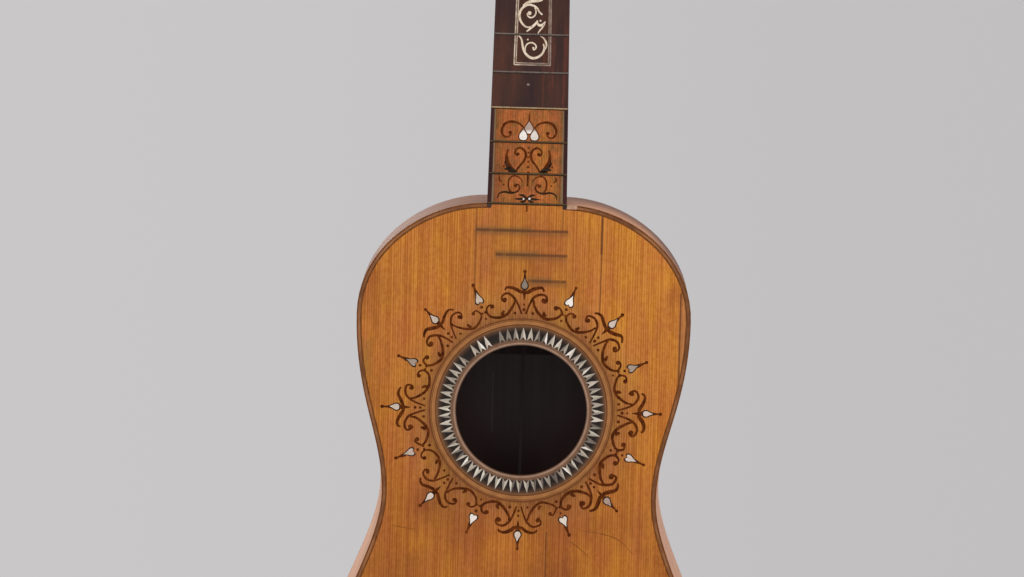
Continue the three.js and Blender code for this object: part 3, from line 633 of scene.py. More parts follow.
def pearl_paint(name, greyed_above=None, spots=()):
    """Mother-of-pearl: each piece has its own brightness, with faint cloudy green and pink"""
    paint = Paint(name)
    island = paint.node("ShaderNodeNewGeometry").outputs["Random Per Island"]
    colour = paint.colours(island, pearl_stops[name])
    if greyed_above is not None:
        upper = paint.span(paint.z, greyed_above - pearl_grey_blend, greyed_above + pearl_grey_blend)
        colour = paint.cover(colour, upper, (182, 158, 144))
    for x, z, spot_colour in spots:
        colour = paint.cover(colour, paint.mark(*scaled(x, z, *pearl_spot_sizes)), spot_colour)
    clouds = paint.noise((260, 260, 420), 3, 0.6, 1.5)
    cloud_stops = [(0.32, (0.8, 0.82, 0.78)), (0.5, (1, 1, 1)), (0.68, (1.08, 1, 1.02))]
    return paint.finish(paint.tinted(colour, clouds, cloud_stops), 0.24, clouds, coat=0.3)


def speckled_paint(name, dark, light, roughness, size=220, metallic=0, specular=0.3):
    """A plain material that varies in fine clouds"""
    paint = Paint(name)
    clouds = paint.noise((size, size, size), 4, 0.6)
    colour = paint.colours(clouds, [(0.3, dark), (0.7, light)])
    rough = paint.span(clouds, 0.3, 0.7, roughness + 0.08, roughness - 0.06)
    return paint.finish(colour, rough, clouds, metallic=metallic, specular=specular)


# Frets lie on the fingerboard above board_frets_z, and on the tongue below tongue_frets_z
board_frets_z = -240 * mm
tongue_frets_z = -270 * mm
fret_blend = 1 * mm


def fret_paint():
    """Tarnished metal, grey on the fingerboard and brown on the tongue, with painted light: lighter on the
    side towards the head, with a painted cream highlight on the frets between them, and darker on the side
    towards the body, a painted shade
    """
    paint = Paint("fret_metal")
    clouds = paint.noise((400, 400, 400), 3)
    # Painted light and shade: each fret lighter where it faces up, darker where it faces the body
    lit_upward = paint.span(paint.parts(paint.normal())[2], -0.25, 0.3)
    on_board = paint.between(lit_upward, (72, 58, 54), (122, 110, 104))
    on_tongue = paint.between(lit_upward, (60, 34, 18), (92, 76, 50))
    on_joint = paint.between(lit_upward, (78, 46, 22), (186, 160, 124))
    above_joint = paint.span(paint.z, board_frets_z, board_frets_z + fret_blend)
    below_joint = paint.span(paint.z, tongue_frets_z, tongue_frets_z + fret_blend, 1, 0)
    colour = paint.mix(below_joint, paint.mix(above_joint, on_joint, on_board), on_tongue)
    colour = paint.tinted(colour, clouds, [(0.3, (0.68, 0.66, 0.62)), (0.7, (1.12, 1.12, 1.1))])
    return paint.finish(colour, 0.6, clouds, metallic=0.2, specular=0.2)


dull_lines_span = (-9 * mm, -3 * mm)


def panel_line_paint():
    """The panel's worn lines, bright on the bass side and dull on the treble side"""
    paint = Paint("panel_line")
    patches = paint.noise((320, 320, 320), 2)
    bass = paint.colours(patches, [(0.35, (168, 146, 126)), (0.6, (214, 194, 172))])
    treble = paint.colours(patches, [(0.35, (122, 104, 92)), (0.6, (164, 142, 130))])
    colour = paint.mix(paint.span(paint.x, *dull_lines_span), bass, treble)
    return paint.finish(colour, 0.5, patches, specular=0.15)


upright_grain = (330, 330, 9)
even_grain = (60, 60, 60)
# Dark, middle and light, grain, roughness and gloss
plain_woods = {
    "binding": ((96, 56, 30), (134, 85, 50), (162, 107, 66), even_grain, 0.5),
    "rosewood": ((36, 14, 11), (64, 32, 26), (94, 50, 38), upright_grain, 0.5),
    "ebony": ((14, 10, 9), (26, 20, 18), (44, 35, 30), upright_grain, 0.36, 0.2),
    # The wood inside the body is dark: aged wood, and partly a painted shade
    "inner_wood": ((54, 44, 42), (66, 54, 52), (80, 64, 60), upright_grain, 0.8, 0.1),
}
# Dark and light, roughness, size of the clouds, metal and gloss
speckled = {
    "mastic": ((20, 14, 12), (54, 42, 36), 0.5, 220, 0, 0.12),
    "mastic_line": ((54, 20, 4), (112, 54, 16), 0.7, 330, 0, 0.05),
    "pearl_edge": ((30, 20, 14), (66, 46, 32), 0.7, 330, 0, 0.05),
    "dark_line": ((90, 49, 20), (128, 76, 36), 0.7, 220, 0, 0.06),
    "bone": ((206, 188, 150), (232, 218, 186), 0.4),
    "ivory": ((196, 168, 140), (250, 234, 212), 0.4, 420),
    "iron": ((52, 44, 40), (84, 72, 64), 0.6, 400, 0.8),
    "bare_wood": ((170, 128, 104), (206, 166, 140), 0.6),
}


def make_paints():
    paints = {name: wood_paint(name, *values) for name, values in plain_woods.items()}
    paints.update({name: speckled_paint(name, *values) for name, values in speckled.items()})
    paints.update({name: ring_paint(name) for name in rings})
    paints.update({
        "spruce": spruce_paint(),
        "board_wood": board_paint(),
        "tongue_border": tongue_border_paint(),
        "panel_line": panel_line_paint(),
        "rib_wood": rib_paint("rib_wood", 0.5, 0.2),
        "back_wood": rib_paint("back_wood", 0.36, 0.25),
        "centre_strip": centre_strip_paint(),
        "fret_metal": fret_paint(),
        "pearl": pearl_paint("pearl", spots=rosette_pearl_spots),
        "arrow_pearl": pearl_paint("arrow_pearl"),
        "tongue_pearl": pearl_paint("tongue_pearl", tongue_pearl_grey_z),
    })
    return paints


# The carried-over pieces

smooth_angle = math.radians(32)
weld_distance = 0.005 * mm


def smoothing_group():
    """Joins the frame's split corners and rounds the shading, except over sharp edges"""
    group = bpy.data.node_groups.new("smooth_shading", "GeometryNodeTree")
    for direction in ("INPUT", "OUTPUT"):
        group.interface.new_socket("Geometry", in_out=direction, socket_type="NodeSocketGeometry")
    kinds = [
        "NodeGroupInput", "NodeGroupOutput", "GeometryNodeMergeByDistance", "GeometryNodeSetShadeSmooth",
        "GeometryNodeSetShadeSmooth", "GeometryNodeInputMeshEdgeAngle", "FunctionNodeCompare",
    ]
    start, end, joined, faces, edges, angle, sharp = [group.nodes.new(kind) for kind in kinds]
    joined.inputs["Distance"].default_value = weld_distance
    faces.inputs["Shade Smooth"].default_value = True
    edges.domain = "EDGE"
    edges.inputs["Shade Smooth"].default_value = False
    sharp.operation = "GREATER_THAN"
    sharp.inputs[1].default_value = smooth_angle
    links = [
        (start.outputs[0], joined.inputs["Geometry"]),
        (joined.outputs[0], faces.inputs[0]),
        (faces.outputs[0], edges.inputs[0]),
        (angle.outputs["Unsigned Angle"], sharp.inputs[0]),
        (sharp.outputs[0], edges.inputs["Selection"]),
        (edges.outputs[0], end.inputs[0]),
    ]
    for source, target in links:
        group.links.new(source, target)
    return group


# Widths of the rounded edges, in millimetres
edge_rounding = {
    "soundboard": 0.3,
    "front_binding": 0.6,
    "back_binding": 0.8,
    "neck": 0.6,
    "heel": 0.8,
    "head": 0.9,
    "head_veneer": 0.5,
    "nut": 0.4,
    "bridge": 0.6,
    "bridge_moustache_bass": 0.5,
    "bridge_moustache_treble": 0.5,
    "end_button": 0.6,
}
own_paints = {
    "rosette_edge_ring": "rosette_edge",
    "rosette_mastic_ring": "rosette_mastic",
    "rosette_wood_ring": "rosette_wood",
    "back_centre_strip": "centre_strip",
    "back_bass": "back_wood",
    "back_treble": "back_wood",
    "fingerboard": "board_wood",
    "tongue_border_bass": "tongue_border",
    "tongue_border_treble": "tongue_border",
}


def dress_nodes(paints):
    """Gives each carried-over node its paint, smooth shading and rounded edges"""
    group = smoothing_group()
    for name, piece in frame["nodes"].items():
        slot = piece.data.materials[0].name.split(".")[0]
        piece.data.materials[0] = paints[own_paints.get(name, slot)]
        if name.startswith("peg_"):
            continue
        shading = piece.modifiers.new("smooth_shading", "NODES")
        shading.node_group = group
        if name in edge_rounding:
            rounding = piece.modifiers.new("rounded_edges", "BEVEL")
            rounding.width = edge_rounding[name] * mm
            rounding.segments = 2
            rounding.limit_method = "ANGLE"
            rounding.angle_limit = smooth_angle


# Inlays

inlay_depth = 0.2 * mm
inlay_rise = 0.05 * mm
# Each slab stands this much prouder than the one before, so that no two faces lie in one plane, and a
# layer above others begins this many slabs higher
inlay_rise_step = 0.0003 * mm
layer_slabs = 40
dot_sides = 12
curve_steps = 6


def smooth_path(points):
    """A Catmull-Rom curve through points: each point is a tuple, all of one length"""
    path = [points[0]]
    for i in range(len(points) - 1):
        before = points[max(i - 1, 0)]
        after = points[min(i + 2, len(points) - 1)]
        for step in range(1, curve_steps + 1):
            t = step / curve_steps
            spot = []
            for a, b, c, d in zip(before, points[i], points[i + 1], after):
                bend = (2 * a - 5 * b + 4 * c - d) * t * t + (3 * b - a - 3 * c + d) * t ** 3
                spot.append((2 * b + (c - a) * t + bend) / 2)
            path.append(tuple(spot))
    return path


def neighbours(points, i, closed):
    """The points before and after number i, or the point itself at an open end"""
    last = len(points) - 1
    before = points[i - 1] if closed or i else points[0]
    after = points[(i + 1) % len(points)] if closed or i < last else points[last]
    return before, after


def join_rows(mesh, rows):
    """Closed bands of faces between each row of corners and the next"""
    for row, other in zip(rows, rows[1:]):
        for i in range(len(row)):
            j = (i + 1) % len(row)
            mesh.faces.new((row[i], row[j], other[j], other[i]))


class Inlay:
    """Thin slabs let into the front, gathered in one piece; place turns a drawing's point into (x, z)"""

    def __init__(self):
        self.place = lambda x, z: (x, z)
        self.mesh = bmesh.new()
        self.count = 0

    def next_top(self):
        self.count += 1
        return front_y - inlay_rise - self.count * inlay_rise_step

    def row(self, points, y):
        return [self.mesh.verts.new((x, y, z)) for x, z in points]

    def slab(self, outline):
        """A closed slab of any outline, in metres"""
        upper = self.row(outline, self.next_top())
        lower = self.row(outline, front_y + inlay_depth)
        self.mesh.faces.new(upper)
        self.mesh.faces.new(lower[::-1])
        for i in range(len(outline)):
            j = (i + 1) % len(outline)
            self.mesh.faces.new((upper[j], upper[i], lower[i], lower[j]))

    def stroke(self, points, closed=False):
        """A line through drawing points (along, up, half width in metres)"""
        spots = [(*self.place(a, b), half) for a, b, half in points]
        left = []
        right = []
        for i, (x, z, half) in enumerate(spots):
            before, after = neighbours(spots, i, closed)
            run = Vector((after[0] - before[0], after[1] - before[1]))
            run.normalize()
            left.append((x - run.y * half, z + run.x * half))
            right.append((x + run.y * half, z - run.x * half))
        if not closed:
            self.slab(left + right[::-1])
            return
        top = self.next_top()
        bottom = front_y + inlay_depth
        rows = [self.row(side, y) for side, y in ((left, top), (right, top), (right, bottom), (left, bottom))]
        join_rows(self.mesh, rows + rows[:1])

    def curve(self, points, half_widths):
        """A smooth line whose half width goes through half_widths, in metres, from end to end"""
        last = len(points) - 1
        wide = []
        for i, point in enumerate(points):
            share = i / last * (len(half_widths) - 1)
            low = min(int(share), len(half_widths) - 2)
            start, end = half_widths[low:low + 2]
            wide.append((*point, start + (end - start) * (share - low)))
        self.stroke(smooth_path(wide))

    def curves(self, drawing, unit):
        """Curves as (points, half width shares of unit)"""
        for points, width_shares in drawing:
            self.curve(points, [share * unit for share in width_shares])

    def dot(self, a, b, radius):
        x, z = self.place(a, b)
        turns = [2 * math.pi * i / dot_sides for i in range(dot_sides)]
        self.slab([(x + radius * math.cos(turn), z + radius * math.sin(turn)) for turn in turns])

    def dots(self, drawing, unit):
        """Dots as (across, up, radius share of unit)"""
        for a, b, share in drawing:
            self.dot(a, b, share * unit)

    def piece(self, name, slot, paint, placing=None):
        bmesh.ops.recalc_face_normals(self.mesh, faces=self.mesh.faces)
        if placing is not None:
            self.mesh.transform(placing)
        made = add_mesh(name, self.mesh, paint)
        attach(made, "root")


# Drop and heart outlines as (across, along) shares: the tip is at along 1
drop_shares = [
    (0, 1), (0.2, 0.84), (0.5, 0.64), (0.82, 0.48), (1, 0.34), (0.94, 0.16), (0.62, 0.04), (0, 0),
]
heart_shares = [
    (0, 1), (0.16, 0.82), (0.52, 0.56), (0.88, 0.36), (1, 0.18), (0.82, 0.03), (0.46, 0), (0.14, 0.06),
    (0, 0.14),
]


def leaf_outline(shares, middle, along, length, half_width, grow=0):
    """A drop or heart outline from middle towards along, grown by grow on all sides"""
    across = Vector((along.y, -along.x))
    side = [(u * (half_width + grow), v * (length + 3 * grow) - grow) for u, v in shares]
    loop = side + [(-u, v) for u, v in side[-2:0:-1]]
    return [tuple(middle + across * u + along * v) for u, v in loop]


def add_bordered_leaf(edges, pearls, below, growth, *leaf):
    """A pearl and its dark edge, layer by layer over the slabs below"""
    edges.count = below + layer_slabs
    edges.slab(leaf_outline(*leaf, growth))
    pearls.count = edges.count + layer_slabs
    pearls.slab(leaf_outline(*leaf))


# The arabesque round the hole. Its points are (turn, reach) shares: turn 1 is 22.5 degrees, where the
# hearts stand, and reach 1 is the outermost dot.
arabesque_reach = 88.2 * mm
sector_turn = math.radians(22.5)
thin = 0.34 * mm
arabesque_curve_shares = [
    (
        [(0.01, 0.841), (0.08, 0.845), (0.18, 0.866), (0.28, 0.884), (0.37, 0.882), (0.415, 0.866)],
        (2, 3, 3.1, 2.6, 2.1, 1.6),
    ),
    (
        [
            (0.062, 0.686), (0.142, 0.764), (0.222, 0.811), (0.347, 0.839), (0.48, 0.831), (0.507, 0.803),
            (0.465, 0.784), (0.432, 0.795),
        ],
        (1.5, 1.8, 2.3, 2, 1.8, 1.6, 1.5),
    ),
    (
        [
            (0.209, 0.787), (0.262, 0.748), (0.413, 0.7), (0.627, 0.678), (0.844, 0.704), (0.929, 0.744),
            (0.871, 0.776), (0.79, 0.784), (0.75, 0.772),
        ],
        (1.6, 2.3, 2.7, 2.1, 1.8, 1.6, 1.5),
    ),
    ([(0.5, 0.724), (0.53, 0.709), (0.57, 0.692)], (1.1, 2.8, 2.6)),
]
arabesque_dot_shares = [
    (0.444, 0.799, 4), (0.762, 0.77, 3.9), (0.231, 0.697, 2.6), (0.213, 0.786, 2.1), (0.96, 0.745, 2.4),
]
arabesque_axis_dot_shares = [
    (0, 0.992, 3), (0, 0.756, 2.3), (0, 0.72, 2.6), (1, 0.956, 3), (1, 0.789, 2.6), (1, 0.7, 2.3),
]
# Stems on the axes: a turn, then (reach, half width) from the leaf outwards or inwards
palmette_stem_shares = [
    (0, [(0.925, 3.5), (0.95, 2.4), (0.97, 1.5), (0.992, 1.2)]),
    (0, [(0.862, 4), (0.835, 3), (0.79, 0.6)]),
    (1, [(0.884, 3.9), (0.912, 2.7), (0.934, 1.6), (0.956, 1.2)]),
]
drop_inner_share = 0.869
drop_outer_share = 0.943
drop_half_width_share = 0.0208
heart_inner_share = 0.82
heart_outer_share = 0.897
heart_half_width_share = 0.026
outline_growth = 0.78 * mm
hand_seed = 17
palmette_count = 8
# The hand's freedom: how far points stray, and the least and greatest shares of the sizes
point_waver_shares = (0.012, 0.004)
line_weight_shares = (0.85, 1.2)
dot_size_shares = (0.8, 1.2)
leaf_length_shares = (0.95, 1.06)
leaf_width_shares = (0.92, 1.08)
leaf_lean = math.radians(4)


def around_hole(angle, reach):
    """The point at angle clockwise from the head, at reach metres from the hole's centre"""
    return hole_centre.x + reach * math.sin(angle), hole_centre.z + reach * math.cos(angle)


def add_arabesque(paints):
    hand = random.Random(hand_seed)
    turn_waver, reach_waver = point_waver_shares
    lines = Inlay()
    edges = Inlay()
    pearls = Inlay()
    starts = [palmette * 2 * sector_turn for palmette in range(palmette_count)]
    for start, side in [(start, side) for start in starts for side in (-1, 1)]:
        lines.place = lambda a, b: around_hole(start + side * a * sector_turn, b * arabesque_reach)
        weight = thin * hand.uniform(*line_weight_shares)
        for points, width_shares in arabesque_curve_shares:
            moved = [
                (a + hand.uniform(-turn_waver, turn_waver), b + hand.uniform(-reach_waver, reach_waver))
                for a, b in points
            ]
            lines.curve(moved, [share * weight for share in width_shares])
        lines.dots(arabesque_dot_shares, weight)
    for start in starts:
        lines.place = lambda a, b: around_hole(start + a * sector_turn, b * arabesque_reach)
        for a, b, share in arabesque_axis_dot_shares:
            lines.dot(a, b, share * thin * hand.uniform(*dot_size_shares))
        for turn, rises in palmette_stem_shares:
            lines.stroke([(turn, reach, share * thin) for reach, share in rises])
        leaves = (
            (0, drop_shares, drop_inner_share, drop_outer_share, drop_half_width_share),
            (1, heart_shares, heart_inner_share, heart_outer_share, heart_half_width_share),
        )
        for turn, shares, inner, outer, half in leaves:
            angle = start + turn * sector_turn
            lean = angle + hand.uniform(-leaf_lean, leaf_lean)
            along = Vector((math.sin(lean), math.cos(lean)))
            middle = Vector(around_hole(angle, inner * arabesque_reach))
            length = (outer - inner) * arabesque_reach * hand.uniform(*leaf_length_shares)
            half_width = half * arabesque_reach * hand.uniform(*leaf_width_shares)
            leaf = (shares, middle, along, length, half_width)
            add_bordered_leaf(edges, pearls, lines.count, outline_growth, *leaf)
    lines.piece("arabesque_lines", "mastic", paints["mastic_line"])
    edges.piece("arabesque_edges", "mastic", paints["pearl_edge"])
    pearls.piece("arabesque_pearls", "pearl", paints["pearl"])


arrow_count = 64
arrow_tip_radius = 52.4 * mm
arrow_base_radius = 44 * mm
arrow_notch_radius = 46.2 * mm
arrow_flank_radius = 47.6 * mm
arrow_half_turn = math.radians(2.35)
arrow_flank_turn = math.radians(1.6)
lost_arrows = (60, 56)


def add_arrowheads(paints):
    pearls = Inlay()
    for i in range(arrow_count):
        if i in lost_arrows:
            continue
        middle = 2 * math.pi * i / arrow_count
        tip = around_hole(middle, arrow_tip_radius)
        notch = around_hole(middle, arrow_notch_radius)
        for side in (-1, 1):
            ear = around_hole(middle + side * arrow_half_turn, arrow_base_radius)
            flank = around_hole(middle + side * arrow_flank_turn, arrow_flank_radius)
            pearls.slab([tip, flank, ear, notch])
    pearls.piece("pearl_arrowheads", "pearl", paints["arrow_pearl"])


# The tongue's scrolls: (across, down) shares of the tongue's width, from the end of the fingerboard
tongue_width = 44 * mm
tongue_thin = 0.46 * mm
tongue_side_curve_shares = [
    (
        [
            (0.075, 0.285), (0.12, 0.235), (0.18, 0.205), (0.26, 0.196), (0.34, 0.226), (0.386, 0.3),
            (0.38, 0.37), (0.337, 0.413), (0.285, 0.41), (0.262, 0.376), (0.27, 0.352),
        ],
        (0.9, 1.3, 1.9, 1.7, 1.3, 1, 1.2),
    ),
    (
        [
            (0.165, 0.915), (0.15, 0.87), (0.1, 0.8), (0.05, 0.735), (0.035, 0.655), (0.065, 0.595),
            (0.12, 0.565), (0.175, 0.59), (0.19, 0.64), (0.165, 0.675), (0.142, 0.655),
        ],
        (1, 1.3, 1.7, 1.6, 1.3, 1.1, 1.2),
    ),
    ([(0.29, 0.59), (0.31, 0.68), (0.295, 0.765), (0.245, 0.84), (0.18, 0.91)], (0.8, 1.9, 2.3, 1.9, 1.2)),
    (
        [
            (0.07, 1.052), (0.123, 0.987), (0.21, 0.971), (0.266, 1.03), (0.269, 1.139), (0.227, 1.204),
            (0.15, 1.193), (0.11, 1.139), (0.13, 1.095), (0.17, 1.09), (0.178, 1.12),
        ],
        (0.6, 0.9, 1.1, 1.2, 1.2, 1, 0.8, 0.9),
    ),
    ([(0.4, 0.97), (0.405, 1.02), (0.37, 1.06)], (0.6, 1.2, 0.7)),
]
# The same, for the strokes that are nearly black
tongue_dark_curve_shares = [
    ([(0.127, 1.175), (0.214, 1.215), (0.322, 1.2), (0.399, 1.226), (0.422, 1.291)], (0.7, 1.3, 1.4, 1, 0.7)),
    ([(0.17, 0.905), (0.225, 0.876), (0.28, 0.868), (0.335, 0.876)], (1, 2.4, 2.6, 0.8)),
    ([(0.17, 0.915), (0.22, 0.91), (0.27, 0.905)], (1, 1.8, 0.8)),
    ([(0.31, 0.73), (0.325, 0.79), (0.27, 0.86), (0.2, 0.905)], (0.5, 1.3, 1.5, 1)),
]
tongue_side_dot_shares = [
    (0.268, 0.352, 0.026), (0.149, 0.655, 0.024), (0.262, 0.897, 0.026), (0.345, 0.832, 0.015),
    (0.17, 1.107, 0.026), (0.34, 1.1, 0.012),
]
tongue_axis_dot_shares = [
    (0, 0.565, 0.016), (0, 0.632, 0.014), (0, 0.759, 0.015), (0, 0.84, 0.018), (0.005, 0.92, 0.018),
]
# Short strokes on the tongue's axis: (across, down, half width) at both ends
tongue_bar_shares = [
    ((0, 0.06, 0.004), (0, 0.175, 0.015)),
    ((-0.045, 0.695, 0.01), (0.045, 0.695, 0.01)),
    ((0, 0.954, 0.016), (0, 1.117, 0.012)),
    ((0, 1.389, 0.009), (0, 1.476, 0.009)),
]
tongue_flower_middle_share = 1.285
tongue_petal_shares = [(0.12, -0.045), (0.18, 0.012), (0.1, 0.05)]
tongue_petal_bend_shares = (0.5, 0.9)
tongue_petal_width_shares = (0.9, 1.7, 0.5)
tongue_fleck_shares = [(-0.05, 1.295, 0.013), (0.034, 1.29, 0.017)]
# Pearl drops on the tongue: (across, top, bottom, half width)
tongue_drop_shares = [(0, 0.182, 0.36, 0.064), (-0.08, 0.29, 0.455, 0.056), (0.08, 0.29, 0.455, 0.056)]
tongue_outline_growth = 0.7 * mm
round_drop_shares = [
    (0, 1), (0.14, 0.9), (0.42, 0.75), (0.74, 0.58), (0.95, 0.42), (1, 0.29), (0.88, 0.14), (0.54, 0.03),
    (0, 0),
]


def motif_place(width, top_z, side=1):
    """A place for the tongue's drawings: width wide, hanging from top_z, on one side of the axis"""
    return lambda a, b: (side * a * width, top_z - b * width)


def motif_drops(width, top_z):
    """The leaves of the tongue's three drops"""
    for a, top, bottom, half in tongue_drop_shares:
        middle = Vector((a * width, top_z - bottom * width))
        yield round_drop_shares, middle, Vector((0, 1)), (bottom - top) * width, half * width


def add_tongue_inlay(paints):
    lines = Inlay()
    for side in (-1, 1):
        lines.place = motif_place(tongue_width, board_end_z, side)
        lines.curves(tongue_side_curve_shares, tongue_thin)
        lines.dots(tongue_side_dot_shares, tongue_width)
    dark = Inlay()
    dark.count = lines.count + layer_slabs
    foot = tongue_flower_middle_share
    across_bend, down_bend = tongue_petal_bend_shares
    for side in (-1, 1):
        dark.place = motif_place(tongue_width, board_end_z, side)
        dark.curves(tongue_dark_curve_shares, tongue_thin)
        for across, down in tongue_petal_shares:
            bend = (across * across_bend, foot + down * down_bend)
            petal = [(0, foot), bend, (across, foot + down)]
            dark.curves([(petal, tongue_petal_width_shares)], tongue_thin)
    lines.place = motif_place(tongue_width, board_end_z)
    lines.dots(tongue_axis_dot_shares, tongue_width)
    for bar in tongue_bar_shares:
        lines.stroke([(a, b, half * tongue_width) for a, b, half in bar])
    edges = Inlay()
    pearls = Inlay()
    for leaf in motif_drops(tongue_width, board_end_z):
        add_bordered_leaf(edges, pearls, max(lines.count, pearls.count), tongue_outline_growth, *leaf)
    pearls.count = dark.count + layer_slabs
    pearls.place = lines.place
    pearls.dots(tongue_fleck_shares, tongue_width)
    lines.piece("tongue_scrolls", "mastic", paints["mastic_line"])
    dark.piece("tongue_leaves", "mastic", paints["pearl_edge"])
    edges.piece("tongue_edges", "mastic", paints["mastic_line"])
    pearls.piece("tongue_pearls", "pearl", paints["tongue_pearl"])


# The fingerboard's panel: double lines round light scrolls
panel_bottom_z = -230.2 * mm
panel_top_z = -12 * mm
panel_margin = 12.45 * mm
panel_shift = 0.85 * mm
panel_line = 0.36 * mm
panel_inner_line = 0.24 * mm
panel_line_gap = 1.25 * mm
scroll_pitch_share = 1.85
scroll_foot_z = -229.8 * mm
scroll_scale_share = 0.99
scroll_weight_share = 1.15
# Scrolls: (across, up) shares of the panel's width from its middle and the motif's foot, and full widths
panel_curve_shares = [
    (
        [
            (-0.407, 0.80), (-0.326, 0.71), (-0.294, 0.58), (-0.261, 0.42), (-0.178, 0.28), (-0.057, 0.19),
            (0.063, 0.176), (0.193, 0.23), (0.29, 0.34), (0.322, 0.47), (0.288, 0.58),
        ],
        (0.03, 0.05, 0.06, 0.054, 0.03),
    ),
    ([(0.213, 0.79), (0.304, 0.73), (0.366, 0.62), (0.378, 0.52), (0.34, 0.42)], (0.02, 0.045, 0.03)),
    (
        [
            (-0.199, 0.33), (-0.207, 0.46), (-0.152, 0.564), (-0.043, 0.606), (0.056, 0.566), (0.097, 0.49),
            (0.067, 0.424), (0.008, 0.41),
        ],
        (0.03, 0.035, 0.03),
    ),
    ([(-0.18, 0.91), (-0.09, 0.99), (0.008, 1.08), (0.097, 1.18), (0.107, 1.23)], (0.03, 0.06, 0.03)),
    (
        [
            (0.243, 1.39), (0.152, 1.47), (0.10, 1.56), (0, 1.63), (-0.13, 1.66), (-0.26, 1.61),
            (-0.36, 1.50), (-0.39, 1.35), (-0.354, 1.20), (-0.262, 1.08), (-0.151, 1.03), (-0.03, 1.06),
        ],
        (0.03, 0.05, 0.055, 0.05, 0.03),
    ),
    (
        [(0.03, 1.58), (0.066, 1.47), (0.033, 1.36), (-0.066, 1.30), (-0.156, 1.34), (-0.18, 1.42)],
        (0.03, 0.035, 0.03),
    ),
    ([(0.093, 1.20), (0.129, 1.12), (0.2, 1.09), (0.277, 1.13), (0.332, 1.20)], (0.04, 0.06, 0.03)),
    ([(0.307, 1.14), (0.249, 1.03), (0.18, 0.94), (0.132, 0.864)], (0.04, 0.035, 0.02)),
    ([(-0.30, 1.63), (-0.2, 1.71), (-0.06, 1.756), (0.1, 1.764), (0.24, 1.8)], (0.03, 0.07, 0.04)),
]
panel_dot_shares = [(0.018, 0.46, 0.03), (-0.145, 0.69, 0.025), (-0.113, 1.424, 0.055), (0.196, 1.22, 0.028)]
# How the board's half width changes with z
board_spread = (body_half_width - nut_half_width) / body_top_z


def panel_half_width(z):
    return nut_half_width + board_spread * z - panel_margin


def add_panel(paints):
    frame_lines = Inlay()
    for inset, half_width in ((0, panel_line), (panel_line_gap, panel_inner_line)):
        low = panel_bottom_z + inset
        high = panel_top_z - inset
        corners = [(-1, low), (1, low), (1, high), (-1, high)]
        loop = [(panel_shift + side * (panel_half_width(z) - inset), z, half_width) for side, z in corners]
        for corner, following in zip(loop, loop[1:] + loop[:1]):
            frame_lines.stroke([corner, following])
    frame_lines.piece("panel_lines", "ivory", paints["panel_line"])
    lines = Inlay()
    foot = scroll_foot_z
    while foot < panel_top_z:
        unit = 2 * panel_half_width(foot) * scroll_scale_share
        if foot + scroll_pitch_share * unit > panel_top_z:
            break
        lines.place = lambda a, b: (panel_shift + a * unit, foot + b * unit)
        lines.curves(panel_curve_shares, unit * scroll_weight_share / 2)
        lines.dots(panel_dot_shares, unit)
        foot += scroll_pitch_share * unit
    lines.piece("panel_scrolls", "ivory", paints["ivory"])


# Two lines along the edge of the front, from the binding's own outline: inset and half width
edge_lines = [(0.45 * mm, 0.4 * mm), (2.75 * mm, 0.45 * mm)]
body_middle_z = -530 * mm
inset_gap_share = 0.93


def rim_loop(name, placing=None):
    """The outer edge of a node's front as a closed run of (x, z); placing carries the front to the node"""
    mesh = bmesh.new()
    mesh.from_mesh(frame["nodes"][name].data)
    if placing is not None:
        mesh.transform(placing.inverted())
    bmesh.ops.remove_doubles(mesh, verts=mesh.verts, dist=weld_distance)
    front = {vert for vert in mesh.verts if abs(vert.co.y - front_y) < weld_distance}
    faces = [face for face in mesh.faces if all(vert in front for vert in face.verts)]
    counts = {}
    for face in faces:
        for edge in face.edges:
            counts[edge] = counts.get(edge, 0) + 1
    near = {}
    for edge, count in counts.items():
        if count == 1:
            a, b = edge.verts
            near.setdefault(a, []).append(b)
            near.setdefault(b, []).append(a)
    start = min(near, key=lambda vert: vert.co.z)
    loop = [start]
    step = near[start][0]
    while step is not start and step not in loop[1:]:
        loop.append(step)
        options = [vert for vert in near[step] if vert is not loop[-2]]
        step = options[0] if options else start
    points = [(vert.co.x, vert.co.z) for vert in loop]
    mesh.free()
    return points


def gap_to_run(spot, points, closed):
    """How far spot lies from the line through points"""
    gaps = []
    for first, second in zip(points, points[1:] + points[:1] if closed else points[1:]):
        nearest, share = intersect_point_line(spot, first, second)
        ends = (first, second)
        nearest = nearest if 0 <= share <= 1 else Vector(ends[share > 1])
        gaps.append((nearest - spot).length)
    return min(gaps)


def inset_run(points, inset, middle_z, closed=False):
    """A run of points moved towards the middle of the shape, without those that crowd past a corner"""
    moved = []
    for i, (x, z) in enumerate(points):
        before, after = neighbours(points, i, closed)
        run = Vector((after[0] - before[0], after[1] - before[1])).normalized()
        lit_inward = Vector((-run.y, run.x))
        if lit_inward.dot(Vector((-x, middle_z - z))) < 0:
            lit_inward = -lit_inward
        spot = Vector((x + lit_inward.x * inset, z + lit_inward.y * inset))
        if gap_to_run(spot, points, closed) > inset * inset_gap_share:
            moved.append(tuple(spot))
    return moved


# Scratches in the front: (x, z) from end to end, in millimetres
scratches = [
    [(-79.4, -522.2), (-72, -523.6), (-64.9, -524.3)],
    [(30.4, -528.2), (38, -533), (46.6, -540.3)],
    [(38.7, -522.2), (60.9, -526.4), (73.5, -537)],
]
scratch_half_widths = (0.06 * mm, 0.18 * mm, 0.06 * mm)
# A bare spot at the edge beside the tongue, and two plugs at the ends of the last fret. Each stands on
# more slab steps than the lines near it.
bare_start_x = 25.1 * mm
bare_end_x = 31.5 * mm
bare_top_z = body_top_z - 0.1 * mm
bare_low_z = body_top_z - 2.6 * mm
bare_steps = 10
plug_radius = 1.5 * mm
plug_places = [(-23.4 * mm, -318.4 * mm), (23.9 * mm, -318.4 * mm)]
plug_steps = 20


